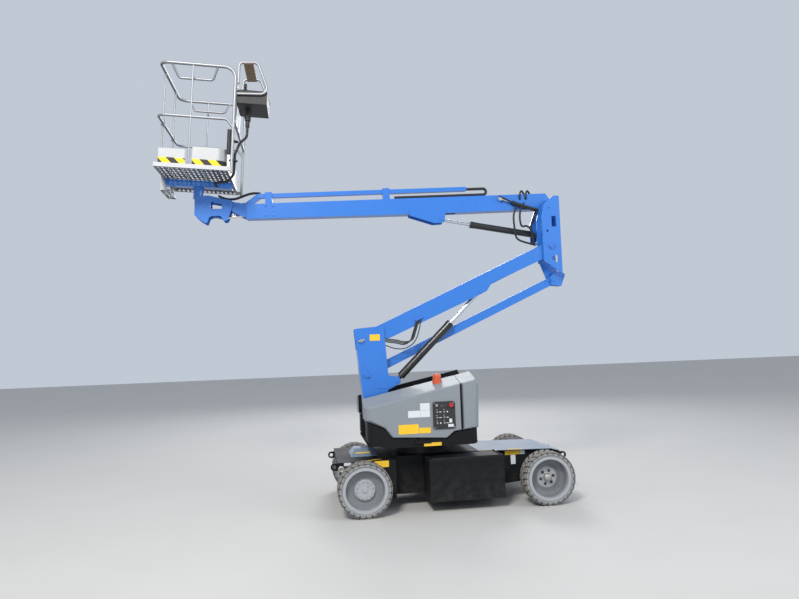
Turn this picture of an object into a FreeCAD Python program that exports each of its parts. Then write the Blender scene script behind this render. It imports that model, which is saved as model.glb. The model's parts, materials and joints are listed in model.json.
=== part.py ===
import FreeCAD, Part
import math
import os

V = FreeCAD.Vector

# Articulating boom lift, 1.5 m wide. X runs along the chassis with the drive wheels at the low end,
# Y across it and Z up from the floor. All sizes are millimetres and degrees.
SIZES = (
    # name, value
    # wheels and axles
    ("drive_axle_x", -200), ("wheelbase", 1950), ("track_outer", 1500),
    ("tyre_radius", 279.5), ("tyre_width", 178), ("bead_radius", 222), ("rim_opening", 202),
    ("rim_lip", 6), ("drive_disc", 12), ("steer_disc", -34), ("disc_thick", 10),
    ("hub_cover_radius", 104), ("grease_cap_radius", 42), ("hub_radius", 92), ("spindle_radius", 34),
    ("kingpin_inset", 92), ("kingpin_radius", 15), ("kingpin_barrel", 26), ("steer_arm", 150),
    ("tie_rod_radius", 13),
    # chassis
    ("frame_half", 330), ("frame_bottom", 135), ("frame_wall", 20), ("wheel_room", 72),
    ("drive_top", 533), ("deck_sheet", 5), ("deck_half", 360), ("steer_deck_top", 545),
    ("steer_deck_fall", 14), ("deck_start", 1092), ("box_half", 705), ("box_bottom", 108),
    ("box_top", 545), ("box_start", 472), ("box_end", 1272), ("drive_end_x", -462),
    ("steer_end_x", 2069), ("hatch_length", 290), ("hatch_half", 200), ("hatch_rise", 76),
    ("lug_bore", 20), ("lug_thick", 16),
    # slewing part
    ("slew_x", 525), ("slew_ring_radius", 300), ("base_top", 700), ("skirt_bottom", 664),
    ("skirt_wall", 6), ("cover_half", 600), ("cover_wall", 5), ("cover_front", -170),
    ("cover_seam", 867), ("cover_back", 1072), ("seam_gap", 6), ("bevel_rise", 66),
    ("near_wall_y", -266), ("far_wall_y", 296), ("bulkhead", 5), ("tail_bridge_top", 985),
    ("counterweight_height", 520), ("beacon_radius", 46), ("beacon_height", 40),
    # tower and linkage
    ("plate", 15), ("web", 8), ("tower_near_y", -195), ("tower_far_y", 0), ("riser_far_y", 235),
    ("pivot_a_x", -148), ("pivot_a_z", 1800), ("lower_length", 2484), ("lower_angle", 24.4),
    ("link_offset_x", 46), ("link_offset_z", -387), ("upper_offset_x", 53), ("upper_offset_z", 560),
    ("lower_near_y", -165), ("lower_width", 150), ("lower_wall", 7), ("lower_top", 65),
    ("link_near_y", -50), ("link_width", 42), ("link_depth", 94),
    ("pin_radius", 22), ("boss_radius", 46), ("pin_gap", 0.06),
    ("lower_base_x", 241), ("lower_base_z", 1339), ("lower_eye_u", 1480), ("lower_eye_v", -103),
    ("lower_cyl_y", -105), ("lower_cyl_radius", 44), ("lower_rod_radius", 23), ("lower_barrel", 900),
    # upper boom
    ("upper_angle", -1.9), ("upper_near_y", 70), ("upper_width", 140), ("upper_wall", 6),
    ("upper_length", 3553), ("upper_top", 124), ("upper_deep", -70), ("upper_shallow", -46),
    ("lug_u", 1307), ("lug_v", -139), ("upper_base_x", 100), ("upper_base_z", -382),
    ("upper_cyl_radius", 38), ("upper_rod_radius", 19), ("upper_barrel", 855), ("eye_width", 44),
    ("slide_gap", 5), ("tube_wall", 6), ("tube_inside", 1900), ("level_pin_u", 3740),
    ("level_pin_v", 127), ("master_rod_u", 579), ("master_rod_v", 70), ("master_x", 71),
    ("master_z", -112), ("master_y", 43), ("master_radius", 21), ("carrier_rise", 196),
    # platform
    ("platform_tilt", 3.7), ("post_reach", 334), ("post_rise", 276), ("platform_y", 140),
    ("platform_length", 760), ("platform_width", 1170), ("floor_depth", 45), ("rail_radius", 17),
    ("post_radius", 11), ("rail_height", 1130), ("mid_height", 560), ("toe_height", 190),
    ("rail_bend", 120), ("bracket_half", 70), ("step_width", 460), ("step_drop", 150),
    ("post_gap", 18), ("toe_sheet", 4), ("toe_inset", 45), ("toe_corner", 90), ("grip_pitch_x", 50),
    ("grip_pitch_y", 100), ("box_length", 320), ("box_width", 440), ("control_top", 905),
    ("control_height", 150), ("guard_radius", 14), ("cable_radius", 14),
)

doc = FreeCAD.newDocument("boom_lift")
sheet = doc.addObject("Spreadsheet::Sheet", "Sizes")
for row, (alias, value) in enumerate(SIZES, start=1):
    sheet.set(f"A{row}", alias)
    sheet.set(f"B{row}", str(value))
    sheet.setAlias(f"B{row}", alias)
doc.recompute()


class Sizes:
    """Each size of the sheet, read by its name."""

    def __getattr__(self, alias):
        return float(getattr(sheet, alias))


S = Sizes()
NODES = {}


def radians(degrees):
    return degrees * math.pi / 180


def turned(angle, u, v):
    """A point u along and v above a line that rises by angle, in X and Z."""
    a = radians(angle)
    return u * math.cos(a) - v * math.sin(a), u * math.sin(a) + v * math.cos(a)


# Helpers for outlines, plates, tubes and turned pieces

def flat(point):
    return V(point[0], point[1], 0)


def upright(low_y):
    return lambda point: V(point[0], low_y, point[1])


def rounded(points, place=flat):
    """Edges of a closed outline. A point is (x, y) or (x, y, corner radius)."""
    count = len(points)
    starts, ends, edges = [], [], []
    for i, point in enumerate(points):
        here = place(point)
        radius = point[2] if len(point) > 2 else 0
        if not radius:
            starts.append(here)
            ends.append(here)
            continue
        before = (place(points[i - 1]) - here).normalize()
        after = (place(points[(i + 1) % count]) - here).normalize()
        half = before.getAngle(after) / 2
        reach = radius / math.tan(half)
        middle = (before + after).normalize() * (radius / math.sin(half) - radius)
        first, last = here + before * reach, here + after * reach
        starts.append(first)
        ends.append(last)
        edges.append((i, Part.Arc(first, here + middle, last)))
    arcs = dict(edges)
    outline = []
    for i in range(count):
        if i in arcs:
            outline.append(arcs[i])
        following = starts[(i + 1) % count]
        if (following - ends[i]).Length > 1e-6:
            outline.append(Part.LineSegment(ends[i], following))
    return outline


def outline_wire(points, place=flat):
    return Part.Wire([edge.toShape() for edge in rounded(points, place)])


def slab(points, low_y, high_y):
    """A solid with an outline in X and Z, from low_y to high_y."""
    return Part.Face(outline_wire(points, upright(low_y))).extrude(V(0, high_y - low_y, 0))


def about(centre, points):
    """Outline points given from a centre, at their own place."""
    return [(centre[0] + point[0], centre[1] + point[1], *point[2:]) for point in points]


def origin_plane(body, role):
    return next(f for f in body.Origin.OriginFeatures if f.Role == role)


def sketch_on(body, plane, label):
    sketch = body.newObject("Sketcher::SketchObject", label)
    sketch.AttachmentSupport = [(origin_plane(body, plane), "")]
    sketch.MapMode = "FlatFace"
    return sketch


def profile_body(label, loops, holes, length, plane, place):
    """A padded outline with its holes: from its plane towards +Y or +Z, as long as the sheet says."""
    body = doc.addObject("PartDesign::Body", label)
    sketch = sketch_on(body, plane, label + "_outline")
    for loop in loops:
        sketch.addGeometry(rounded(loop), False)
    for x, z, radius in holes:
        sketch.addGeometry(Part.Circle(V(x, z, 0), V(0, 0, 1), radius), False)
    pad = body.newObject("PartDesign::Pad", label + "_pad")
    pad.Profile = sketch
    pad.setExpression("Length", length)
    pad.Reversed = plane == "XZ_Plane"
    body.Placement = place
    return body


def plate(label, outline, low_y, length="Sizes.plate", holes=(), inner=(), place=None):
    """An upright plate along X, its low face at low_y."""
    base = place or FreeCAD.Placement()
    return profile_body(label, [outline, *inner], holes, length, "XZ_Plane",
                        base * FreeCAD.Placement(V(0, low_y, 0), FreeCAD.Rotation()))


def turned_body(label, profile, place):
    """A profile of (distance along Y, radius) points turned about the Y axis."""
    body = doc.addObject("PartDesign::Body", label)
    sketch = sketch_on(body, "YZ_Plane", label + "_profile")
    sketch.addGeometry(rounded(profile), False)
    turn = body.newObject("PartDesign::Revolution", label + "_turn")
    turn.Profile = sketch
    turn.ReferenceAxis = (sketch, ["H_Axis"])
    turn.Angle = 360
    body.Placement = place
    return body


def box(low, high):
    return Part.makeBox(*[high[i] - low[i] for i in range(3)], V(*low))


def rod(start, end, radius, bore=0):
    """A round bar or tube between two points."""
    start, end = V(*start), V(*end)
    bar = Part.makeCylinder(radius, (end - start).Length, start, end - start)
    if bore:
        bar = bar.cut(Part.makeCylinder(bore, (end - start).Length, start, end - start))
    return bar


def across(x, z, low_y, high_y, radius, bore=0):
    """A round bar or tube along Y."""
    return rod((x, low_y, z), (x, high_y, z), radius, bore)


def bent_path(points, bend):
    """A path of straight runs joined by tangent arcs. A point may carry its own bend radius."""
    edges = []
    last = V(*points[0][:3])
    for i in range(1, len(points) - 1):
        here = V(*points[i][:3])
        radius = points[i][3] if len(points[i]) > 3 else bend
        before = (V(*points[i - 1][:3]) - here).normalize()
        after = (V(*points[i + 1][:3]) - here).normalize()
        half = before.getAngle(after) / 2
        reach = radius / math.tan(half)
        middle = (before + after).normalize() * (radius / math.sin(half) - radius)
        first = here + before * reach
        if (first - last).Length > 1e-6:
            edges.append(Part.LineSegment(last, first).toShape())
        edges.append(Part.Arc(first, here + middle, here + after * reach).toShape())
        last = here + after * reach
    edges.append(Part.LineSegment(last, V(*points[-1][:3])).toShape())
    return Part.Wire(edges)


def tube(points, radius, bend):
    """A round bar bent along points."""
    path = bent_path(points, bend)
    start = V(*points[0][:3])
    ring = Part.Wire([Part.makeCircle(radius, start, V(*points[1][:3]) - start)])
    return path.makePipeShell([ring], True, False)


def joined(shapes):
    return shapes[0].multiFuse(list(shapes[1:])).removeSplitter()


def loft(sections):
    """A ruled solid through closed wires with as many corners each."""
    return Part.makeLoft(sections, True, True)


def feature(label, shape, place=None):
    """A sub-part whose shape is worked out from the sheet here."""
    item = doc.addObject("Part::Feature", label)
    item.Shape = shape
    item.Placement = place or FreeCAD.Placement()
    return item


def fuse(label, parts):
    item = doc.addObject("Part::MultiFuse", label)
    item.Shapes = parts
    item.Refine = True
    return item


def cut(label, base, tool):
    item = doc.addObject("Part::Cut", label)
    item.Base = base
    item.Tool = tool
    return item


def node(label, item):
    item.Label = label
    NODES[label] = item
    return item


# Places that several sub-parts share

STEER_AXLE_X = S.drive_axle_x + S.wheelbase
WHEEL_Y = (S.track_outer - S.tyre_width) / 2
KINGPIN_Y = WHEEL_Y - S.kingpin_inset
AXLE_Z = S.tyre_radius
A = (S.pivot_a_x, S.pivot_a_z)
SPAN = turned(S.lower_angle, S.lower_length, 0)
B = (A[0] + SPAN[0], A[1] + SPAN[1])
D = (A[0] + S.link_offset_x, A[1] + S.link_offset_z)
C = (B[0] + S.link_offset_x, B[1] + S.link_offset_z)
U = (B[0] + S.upper_offset_x, B[1] + S.upper_offset_z)
LOWER_FAR_Y = S.lower_near_y + S.lower_width
UPPER_MID_Y = S.upper_near_y + S.upper_width / 2
UPPER_FAR_Y = S.upper_near_y + S.upper_width
DRIVE_HALF = WHEEL_Y - S.tyre_width / 2 - S.wheel_room
LOWER_PLACE = FreeCAD.Placement(V(A[0], 0, A[1]), FreeCAD.Rotation(V(0, 1, 0), -S.lower_angle))
UPPER_PLACE = FreeCAD.Placement(V(U[0], 0, U[1]), FreeCAD.Rotation(V(0, 1, 0), S.upper_angle))
LEVEL_PIN = UPPER_PLACE.multVec(V(-S.level_pin_u, 0, S.level_pin_v))
PLATFORM_PLACE = FreeCAD.Placement(V(LEVEL_PIN.x - S.post_reach, S.platform_y,
                                     LEVEL_PIN.z + S.post_rise),
                                   FreeCAD.Rotation(V(0, 1, 0), S.platform_tilt))


def wheel(end, side):
    """One wheel: a solid tyre with rounded shoulders on a dished rim. side is -1 near, 1 far."""
    axle_x = S.drive_axle_x if end == "drive" else STEER_AXLE_X
    turn = FreeCAD.Rotation(V(0, 0, 1), 0 if side > 0 else 180)
    place = FreeCAD.Placement(V(axle_x, side * WHEEL_Y, AXLE_Z), turn)
    name = f"{end}_{'near' if side < 0 else 'far'}"
    half, bead = S.tyre_width / 2, S.bead_radius + 0.3
    shoulder = S.tyre_radius - 14
    tyre = turned_body("tyre_" + name, [
        (-half + 12, bead), (half - 12, bead), (half - 6, bead + 14), (half, shoulder - 6, 8),
        (half - 9, S.tyre_radius, 6), (-half + 9, S.tyre_radius, 6), (-half, shoulder - 6, 8),
        (-half + 6, bead + 14)], place)
    node("tyre_" + name, tyre)
    disc = S.drive_disc if end == "drive" else S.steer_disc
    back = disc - S.disc_thick
    lip, seat, opening = half - 7.5, S.bead_radius, S.rim_opening
    if end == "drive":
        hub = [(disc, 150), (disc - 4, S.hub_cover_radius + 14), (disc - 4, S.hub_cover_radius),
               (disc + 22, S.hub_cover_radius, 4), (disc + 22, 0)]
        hub_back = [(back, 0), (back, opening - 8, 6)]
    else:
        hub = [(disc, 150, 20), (disc + 16, 84, 12), (disc + 16, S.grease_cap_radius + 10),
               (disc + 22, S.grease_cap_radius), (disc + 50, S.grease_cap_radius - 4, 10),
               (disc + 62, S.grease_cap_radius - 24, 8), (disc + 64, 0)]
        hub_back = [(back - 16, 0), (back - 16, 70), (back, 70), (back, opening - 8, 6)]
    rim = turned_body("rim_" + name, [
        (lip, seat), (lip, seat + 9), (lip + S.rim_lip, seat + 9), (lip + S.rim_lip, opening),
        (half - 36, opening - 6, 8), (disc + 4, opening - 14, 6), *hub, *hub_back,
        (-lip - S.rim_lip, opening), (-lip - S.rim_lip, seat + 9), (-lip, seat + 9), (-lip, seat)],
        place)
    node("rim_" + name, rim)


def knuckle(side):
    """Steering knuckle: kingpin barrel, stub axle and the arm to the tie rod."""
    name = "knuckle_near" if side < 0 else "knuckle_far"
    king_y = side * KINGPIN_Y
    hub_y = side * (WHEEL_Y + S.steer_disc - S.disc_thick - 16.3)
    barrel = rod((STEER_AXLE_X, king_y, AXLE_Z - 62), (STEER_AXLE_X, king_y, AXLE_Z + 62),
                 S.kingpin_barrel, S.kingpin_radius + S.pin_gap)
    stub = rod((STEER_AXLE_X, king_y + side * 20, AXLE_Z), (STEER_AXLE_X, hub_y, AXLE_Z),
               S.spindle_radius)
    arm = box((STEER_AXLE_X - S.steer_arm, king_y - 16, AXLE_Z - 55),
              (STEER_AXLE_X - 20, king_y + 16, AXLE_Z - 37))
    eye = rod((STEER_AXLE_X - S.steer_arm, king_y, AXLE_Z - 55),
              (STEER_AXLE_X - S.steer_arm, king_y, AXLE_Z - 37), 24)
    return node(name, feature(name, joined([barrel, stub, arm, eye])))


def steering():
    for side in (-1, 1):
        knuckle(side)
    x, z = STEER_AXLE_X - S.steer_arm, AXLE_Z - 37
    low, high = -KINGPIN_Y, KINGPIN_Y
    ends = [rod((x, y, z + 0.3), (x, y, z + 30), 20) for y in (low, high)]
    bar = rod((x, low, z + 15), (x, high, z + 15), S.tie_rod_radius)
    node("tie_rod", feature("tie_rod", joined([bar, *ends])))
    beam = box((STEER_AXLE_X - 45, -KINGPIN_Y + 82, AXLE_Z - 50),
               (STEER_AXLE_X + 45, KINGPIN_Y - 82, AXLE_Z + 50))
    pieces = [beam]
    for side in (-1, 1):
        king_y = side * KINGPIN_Y
        for low_z, high_z in ((AXLE_Z - 88, AXLE_Z - 63), (AXLE_Z + 63, AXLE_Z + 88)):
            reach = sorted((king_y, side * (KINGPIN_Y - 120)))
            ear = box((STEER_AXLE_X - S.kingpin_barrel, reach[0], low_z),
                      (STEER_AXLE_X + S.kingpin_barrel, reach[1], high_z))
            pieces += [ear, rod((STEER_AXLE_X, king_y, low_z), (STEER_AXLE_X, king_y, high_z),
                                S.kingpin_barrel)]
        pieces.append(rod((STEER_AXLE_X, king_y, AXLE_Z - 88), (STEER_AXLE_X, king_y, AXLE_Z + 88),
                          S.kingpin_radius))
        cheek = sorted((side * (KINGPIN_Y - 120), side * (KINGPIN_Y - 78)))
        pieces.append(box((STEER_AXLE_X - 34, cheek[0], AXLE_Z - 88),
                          (STEER_AXLE_X + 34, cheek[1], AXLE_Z + 88)))
    node("steer_axle", feature("steer_axle", joined(pieces)))


def chassis():
    """Welded frame: a wide drive end, a narrow spine and the steer end with the axle's arch."""
    top, bottom = S.drive_top, S.frame_bottom
    edge, wall = S.drive_end_x, S.frame_wall
    under_deck = S.steer_deck_top - S.deck_sheet - 0.3
    drive = [(edge, top), (150, top), (150, bottom), (-30, bottom), (-60, 180), (-330, 180),
             (edge + 20, 400)]
    drive_inner = [(edge + wall, top - wall), (170, top - wall), (170, bottom + wall),
                   (-16, bottom + wall), (-48, 180 + wall), (-322, 180 + wall),
                   (edge + wall + 18, 406)]
    nose_top = S.steer_deck_top - S.steer_deck_fall - S.deck_sheet - 4
    joint = S.box_end + 40
    nose = [(joint, under_deck - 30), (1900, nose_top - 16), (S.steer_end_x - 12, 476),
            (S.steer_end_x - 12, 400), (1900, 210), (joint, 160)]
    drive_half, spine_half, nose_half = DRIVE_HALF, S.frame_half, 300
    solid = joined([slab(drive, -drive_half, drive_half),
                    box((140, -spine_half, S.frame_bottom), (joint, spine_half, under_deck)),
                    slab(nose, -nose_half, nose_half)])
    hollow = joined([slab(drive_inner, wall - drive_half, drive_half - wall),
                     box((150, wall - spine_half, S.frame_bottom + wall),
                         (joint - wall, spine_half - wall, under_deck - wall))])
    low_x, high_x = STEER_AXLE_X - 45.3, STEER_AXLE_X + 45.3
    arch = box((low_x, -nose_half - 1, AXLE_Z - 110), (high_x, nose_half + 1, AXLE_Z + 110))
    well = box((STEER_AXLE_X - 200, -nose_half - 1, AXLE_Z - 70),
               (low_x + 1, nose_half + 1, AXLE_Z + 12))
    axle_tubes = []
    for side in (-1, 1):
        reach = side * (WHEEL_Y - S.tyre_width / 2 - 24)
        axle_tubes.append(rod((S.drive_axle_x, side * (drive_half - 10), AXLE_Z),
                              (S.drive_axle_x, reach, AXLE_Z), 120))
    frame = joined([solid.cut(hollow).cut(arch).cut(well), *axle_tubes])
    node("chassis_frame", feature("chassis_frame", frame))
    ring = rod((S.slew_x, 0, under_deck + 0.3), (S.slew_x, 0, 655), S.slew_ring_radius, 230)
    node("slew_ring", feature("slew_ring", ring))


def drive_motors():
    """Wheel motors with their gearboxes, which carry the drive wheels."""
    pieces = []
    for side in (-1, 1):
        inner = side * (WHEEL_Y - S.tyre_width / 2 - 24)
        outer = side * (WHEEL_Y + S.drive_disc - S.disc_thick - 0.3)
        pieces.append(rod((S.drive_axle_x, inner, AXLE_Z), (S.drive_axle_x, outer, AXLE_Z),
                          S.hub_radius))
    node("drive_motors", feature("drive_motors", Part.makeCompound(pieces)))


def decks():
    """Hatch cover with sloping sides on the drive end and the bent deck sheet of the steer end."""
    thick = S.deck_sheet
    low, high = S.drive_top + 0.3, S.drive_top + S.hatch_rise
    end, half = S.drive_end_x + 160 + S.hatch_length, S.hatch_half
    faces = []
    for inset in (0, thick):
        rings = []
        for z, slope in ((low - inset * 0.2, 0), (high - inset, 1)):
            lean_x, lean_y = 30 * slope + inset, 110 * slope + inset
            low_x, high_x, high_y = end - S.hatch_length + lean_x * 1.6, end - lean_x, half - lean_y
            corners = [(low_x, -high_y), (high_x, -high_y), (high_x, high_y), (low_x, high_y)]
            rings.append(Part.makePolygon([V(x, y, z) for x, y in [*corners, corners[0]]]))
        faces.append(loft(rings))
    hatch = faces[0].cut(faces[1])
    start, end = S.deck_start, S.steer_end_x
    level, low = S.steer_deck_top, S.steer_deck_top - S.steer_deck_fall
    half = S.deck_half
    notch = S.box_end + 0.3
    plan = [(start, -S.frame_half), (notch, -S.frame_half), (notch, -half), (end - 130, -half, 60),
            (end, -half + 130, 40), (end, half - 130, 40), (end - 130, half, 60), (notch, half),
            (notch, S.frame_half), (start, S.frame_half)]
    deck = Part.Face(outline_wire(plan)).extrude(V(0, 0, 200))
    deck.translate(V(0, 0, 400))
    fold = S.box_end + 40
    profile = [(start, level), (fold, level), (end - 150, low), (end, 482), (end, 474),
               (end - 152, low - thick), (fold, level - thick), (start, level - thick)]
    sheets = [hatch, deck.common(slab(profile, -half, half))]
    node("decks", feature("decks", Part.makeCompound(sheets)))


def battery_boxes():
    """A lidded battery box on each side, with its battery inside."""
    shells, blocks = [], []
    for side in (-1, 1):
        low, high = sorted((side * (S.frame_half + 0.3), side * S.box_half))
        shell = box((S.box_start, low, S.box_bottom), (S.box_end, high, S.box_top))
        edges = [e for e in shell.Edges if abs(e.CenterOfMass.y) > S.box_half - 1]
        shell = shell.makeChamfer(4, edges)
        hollow = box((S.box_start + 5, low + 5, S.box_bottom + 5),
                     (S.box_end - 5, high - 5, S.box_top - 5))
        shells.append(shell.cut(hollow))
        blocks.append(box((S.box_start + 60, low + 60, S.box_bottom + 5),
                          (S.box_end - 60, high - 60, S.box_bottom + 305)))
    node("battery_boxes", feature("battery_boxes", Part.makeCompound(shells)))
    node("batteries", feature("batteries", Part.makeCompound(blocks)))


def tie_downs():
    """Lashing eyes on the end faces of the chassis."""
    pieces = []
    edge, top = S.drive_end_x - 0.3, S.drive_top
    frame_end = slab([(edge, top), (edge + 20, 400), (0, 400), (0, top)], -500, 500)
    ends = ((S.drive_end_x + 8, 474, -1, 400), (S.steer_end_x - 12, 432, 1, 240))
    for x, z, towards, half in ends:
        for side in (-1, 1):
            y = side * half
            low, high = sorted((x, x + towards * 40))
            lug = box((low, y - S.lug_thick / 2, z - 38), (high, y + S.lug_thick / 2, z + 38))
            nose = across(x + towards * 40, z, y - S.lug_thick / 2, y + S.lug_thick / 2, 38)
            hole = across(x + towards * 40, z, y - 40, y + 40, S.lug_bore)
            pieces.append(lug.fuse(nose).removeSplitter().cut(hole).cut(frame_end))
    node("tie_down_lugs", feature("tie_down_lugs", Part.makeCompound(pieces)))


def cover_outline(outer):
    """Side view of the grey covers: corner points from the front lower corner, clockwise."""
    rise = 0 if outer else S.bevel_rise
    return {"front_low": (S.cover_front + 6, 958), "front_top": (S.cover_front, 1098 + rise),
            "seam_top": (S.cover_seam, 1314 + rise), "back_top": (S.cover_back - 34, 1352 + rise),
            "back_mid": (S.cover_back, 1300 + rise / 2), "back_low": (S.cover_back - 18, 833),
            "seam_low": (S.cover_seam, 812), "step_high": (780, 802), "step_low": (693, 734),
            "belly_low": (112, 766), "belly_high": (34, 869)}


def cover_section(names, y, outer, inset, seam_shift, ends=0):
    """A cover's outline at one y. Its front and back corners are drawn in by ends."""
    marks = cover_outline(outer)
    points = []
    for name in names:
        x, z = marks[name]
        x += seam_shift.get(name, 0)
        if name.startswith("back"):
            x -= ends
        if name.startswith("front"):
            x += ends
        points.append(V(x, y, z))
    wire = Part.makePolygon(points + [points[0]])
    return wire.makeOffset2D(-inset) if inset else wire


SIDE_NAMES = ("front_low", "front_top", "seam_top", "seam_low", "step_high", "step_low",
              "belly_low", "belly_high")
BACK_NAMES = ("seam_low", "seam_top", "back_top", "back_mid", "back_low")


def pod_solid(names, side, edge_y, shift, wall):
    """The filled form of a cover, wall smaller all round: bevelled above, rounded at its edges."""
    half = S.cover_half
    # y, at the bend or beyond it, inset, ends drawn in
    rows = ((edge_y, False, 0, 0), (side * (half - 70), True, 0, 0), (side * (half - 25), True, 4, 8),
            (side * (half - wall), True, 16, 32))
    sections = [cover_section(names, y, outer, inset + wall, shift, ends)
                for y, outer, inset, ends in rows]
    return joined([loft(sections[i:i + 2]) for i in range(3)])


def pod(names, side, wall_y, wall):
    """A bevelled cover from the wall at the channel out to its side, as a shell open to the wall."""
    shift = {"seam_top": -S.seam_gap / 2, "seam_low": -S.seam_gap / 2} if "front_low" in names else {
        "seam_top": S.seam_gap / 2, "seam_low": S.seam_gap / 2}
    edge_y = wall_y + side * S.bulkhead
    return pod_solid(names, side, edge_y, shift, 0).cut(
        pod_solid(names, side, edge_y - side * 1, shift, wall))


def covers():
    for side, wall_y, name in ((-1, S.near_wall_y, "near"), (1, S.far_wall_y, "far")):
        shell = pod(SIDE_NAMES, side, wall_y + side * 0.3, S.cover_wall)
        node("side_cover_" + name, feature("side_cover_" + name, shell))
    tails = [pod(BACK_NAMES, side, wall_y + side * 0.3, S.cover_wall)
             for side, wall_y in ((-1, S.near_wall_y), (1, S.far_wall_y))]
    passage = box((S.cover_seam + 19.7, -S.cover_half + 59.7, S.base_top),
                  (S.cover_back - 49.7, S.cover_half - 59.7, 1000))
    node("rear_cover", feature("rear_cover", Part.makeCompound([t.cut(passage) for t in tails])))


def turntable():
    """Slewing base: floor, black skirt, the walls of the boom channel and the tail bridge."""
    half = S.cover_half - 14
    plan = [(S.cover_front + 30, -half, 90), (S.cover_back - 24, -half, 120),
            (S.cover_back - 24, half, 120), (S.cover_front + 30, half, 90)]
    face = Part.Face(outline_wire(plan))
    floor = face.extrude(V(0, 0, 12))
    floor.translate(V(0, 0, S.base_top - 12))
    marks = cover_outline(True)
    gap = 6
    side = [(S.cover_front + 20, 734), (S.cover_front + 60, 700), (100, S.skirt_bottom),
            (S.cover_back - 40, S.skirt_bottom), (S.cover_back - 14, 700),
            (marks["back_low"][0] - 2, marks["back_low"][1] - gap),
            (marks["seam_low"][0], marks["seam_low"][1] - gap),
            (marks["step_high"][0], marks["step_high"][1] - gap),
            (marks["step_low"][0], marks["step_low"][1] - gap),
            (marks["belly_low"][0], marks["belly_low"][1] - gap),
            (marks["belly_high"][0], marks["belly_high"][1] - gap),
            (marks["front_low"][0], marks["front_low"][1] - gap)]
    ring_outer = face.extrude(V(0, 0, 320))
    inner = [(S.cover_front + 30 + S.skirt_wall, -half + S.skirt_wall, 84),
             (S.cover_back - 24 - S.skirt_wall, -half + S.skirt_wall, 114),
             (S.cover_back - 24 - S.skirt_wall, half - S.skirt_wall, 114),
             (S.cover_front + 30 + S.skirt_wall, half - S.skirt_wall, 84)]
    ring = ring_outer.cut(Part.Face(outline_wire(inner)).extrude(V(0, 0, 320)))
    ring.translate(V(0, 0, 655))
    skirt = ring.common(slab(side, -half - 10, half + 10))
    gate = box((S.cover_front - 40, S.near_wall_y, S.base_top),
               (S.cover_back + 40, S.far_wall_y, 1000))
    skirt = skirt.cut(gate)
    walls = []
    for side_sign, wall_y in ((-1, S.near_wall_y), (1, S.far_wall_y)):
        low, high = sorted((wall_y, wall_y + side_sign * S.bulkhead))
        names = ("front_low", "front_top", "seam_top", "back_top", "back_mid", "back_low",
                 "seam_low", "step_high", "step_low", "belly_low", "belly_high")
        high_marks = cover_outline(False)
        pts = [high_marks[n] for n in names]
        pts = [(x, z - 10) if n.endswith("top") else (x, z) for n, (x, z) in zip(names, pts)]
        pts = [(S.cover_front + 40, S.base_top - 1), (S.cover_front + 40, 940), pts[1], pts[2], pts[3],
               pts[4], (S.cover_back - 40, S.base_top - 1)]
        walls.append(slab(pts, low, high))
    hub = rod((S.slew_x, 0, 655.3), (S.slew_x, 0, S.base_top - 6), 285, 200)
    base = joined([floor, skirt, hub, *walls])
    node("turntable_base", feature("turntable_base", base))


def counterweight():
    """Cast block across the tail, low between the covers so that the link passes over it."""
    x_low, x_high = S.cover_seam + 20, S.cover_back - 50
    low_z = S.base_top + 0.3
    pieces = []
    for y_low, y_high in ((-S.cover_half + 60, S.near_wall_y - S.bulkhead - 8),
                          (S.far_wall_y + S.bulkhead + 8, S.cover_half - 60)):
        block = box((x_low, y_low, low_z), (x_high, y_high, low_z + S.counterweight_height))
        corner = [e for e in block.Edges if e.CenterOfMass.x > x_high - 1
                  and abs(e.CenterOfMass.y) > S.cover_half - 61]
        pieces.append(block.makeFillet(45, corner))
    pieces.append(box((x_low, S.near_wall_y + 0.3, low_z),
                      (x_high, S.far_wall_y - 0.3, S.tail_bridge_top)))
    node("counterweight", feature("counterweight", Part.makeCompound(pieces)))


def beacon():
    """Flashing lamp on a foot, which stands on the near cover."""
    x, y = 655, -350
    edge_y, bend_y = S.near_wall_y - S.bulkhead - 0.3, 70 - S.cover_half
    shift = {"seam_top": -S.seam_gap / 2, "seam_low": -S.seam_gap / 2}
    below = loft([cover_section(SIDE_NAMES, edge_y, False, 0, shift),
                  cover_section(SIDE_NAMES, bend_y, True, 0, shift)])
    below.translate(V(0, 0, 0.3))
    seat = 1342
    top = seat + S.beacon_height
    base = rod((x, y, seat - 60), (x, y, seat), S.beacon_radius + 6).cut(below)
    lens = rod((x, y, seat), (x, y, top), S.beacon_radius)
    dome = Part.makeSphere(S.beacon_radius, V(x, y, top), V(0, 0, 1), 0, 90)
    dome = dome.common(box((x - 80, y - 80, top - 1), (x + 80, y + 80, top + 24)))
    node("beacon", feature("beacon", joined([base, lens, dome])))


def controls():
    """Ground control panel on the near cover and the latch below it."""
    y = -S.cover_half
    panel = slab([(548, 842, 18), (548, 1128, 18), (786, 1128, 18), (786, 842, 18)], y - 14, y - 0.3)
    face = [e for e in panel.Edges if e.CenterOfMass.y < y - 13]
    panel = panel.makeChamfer(3, face)
    node("ground_controls", feature("ground_controls", panel))
    latch = box((350, y - 6, 700), (520, y + 13.7, 728))
    node("cover_latch", feature("cover_latch", latch))


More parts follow.
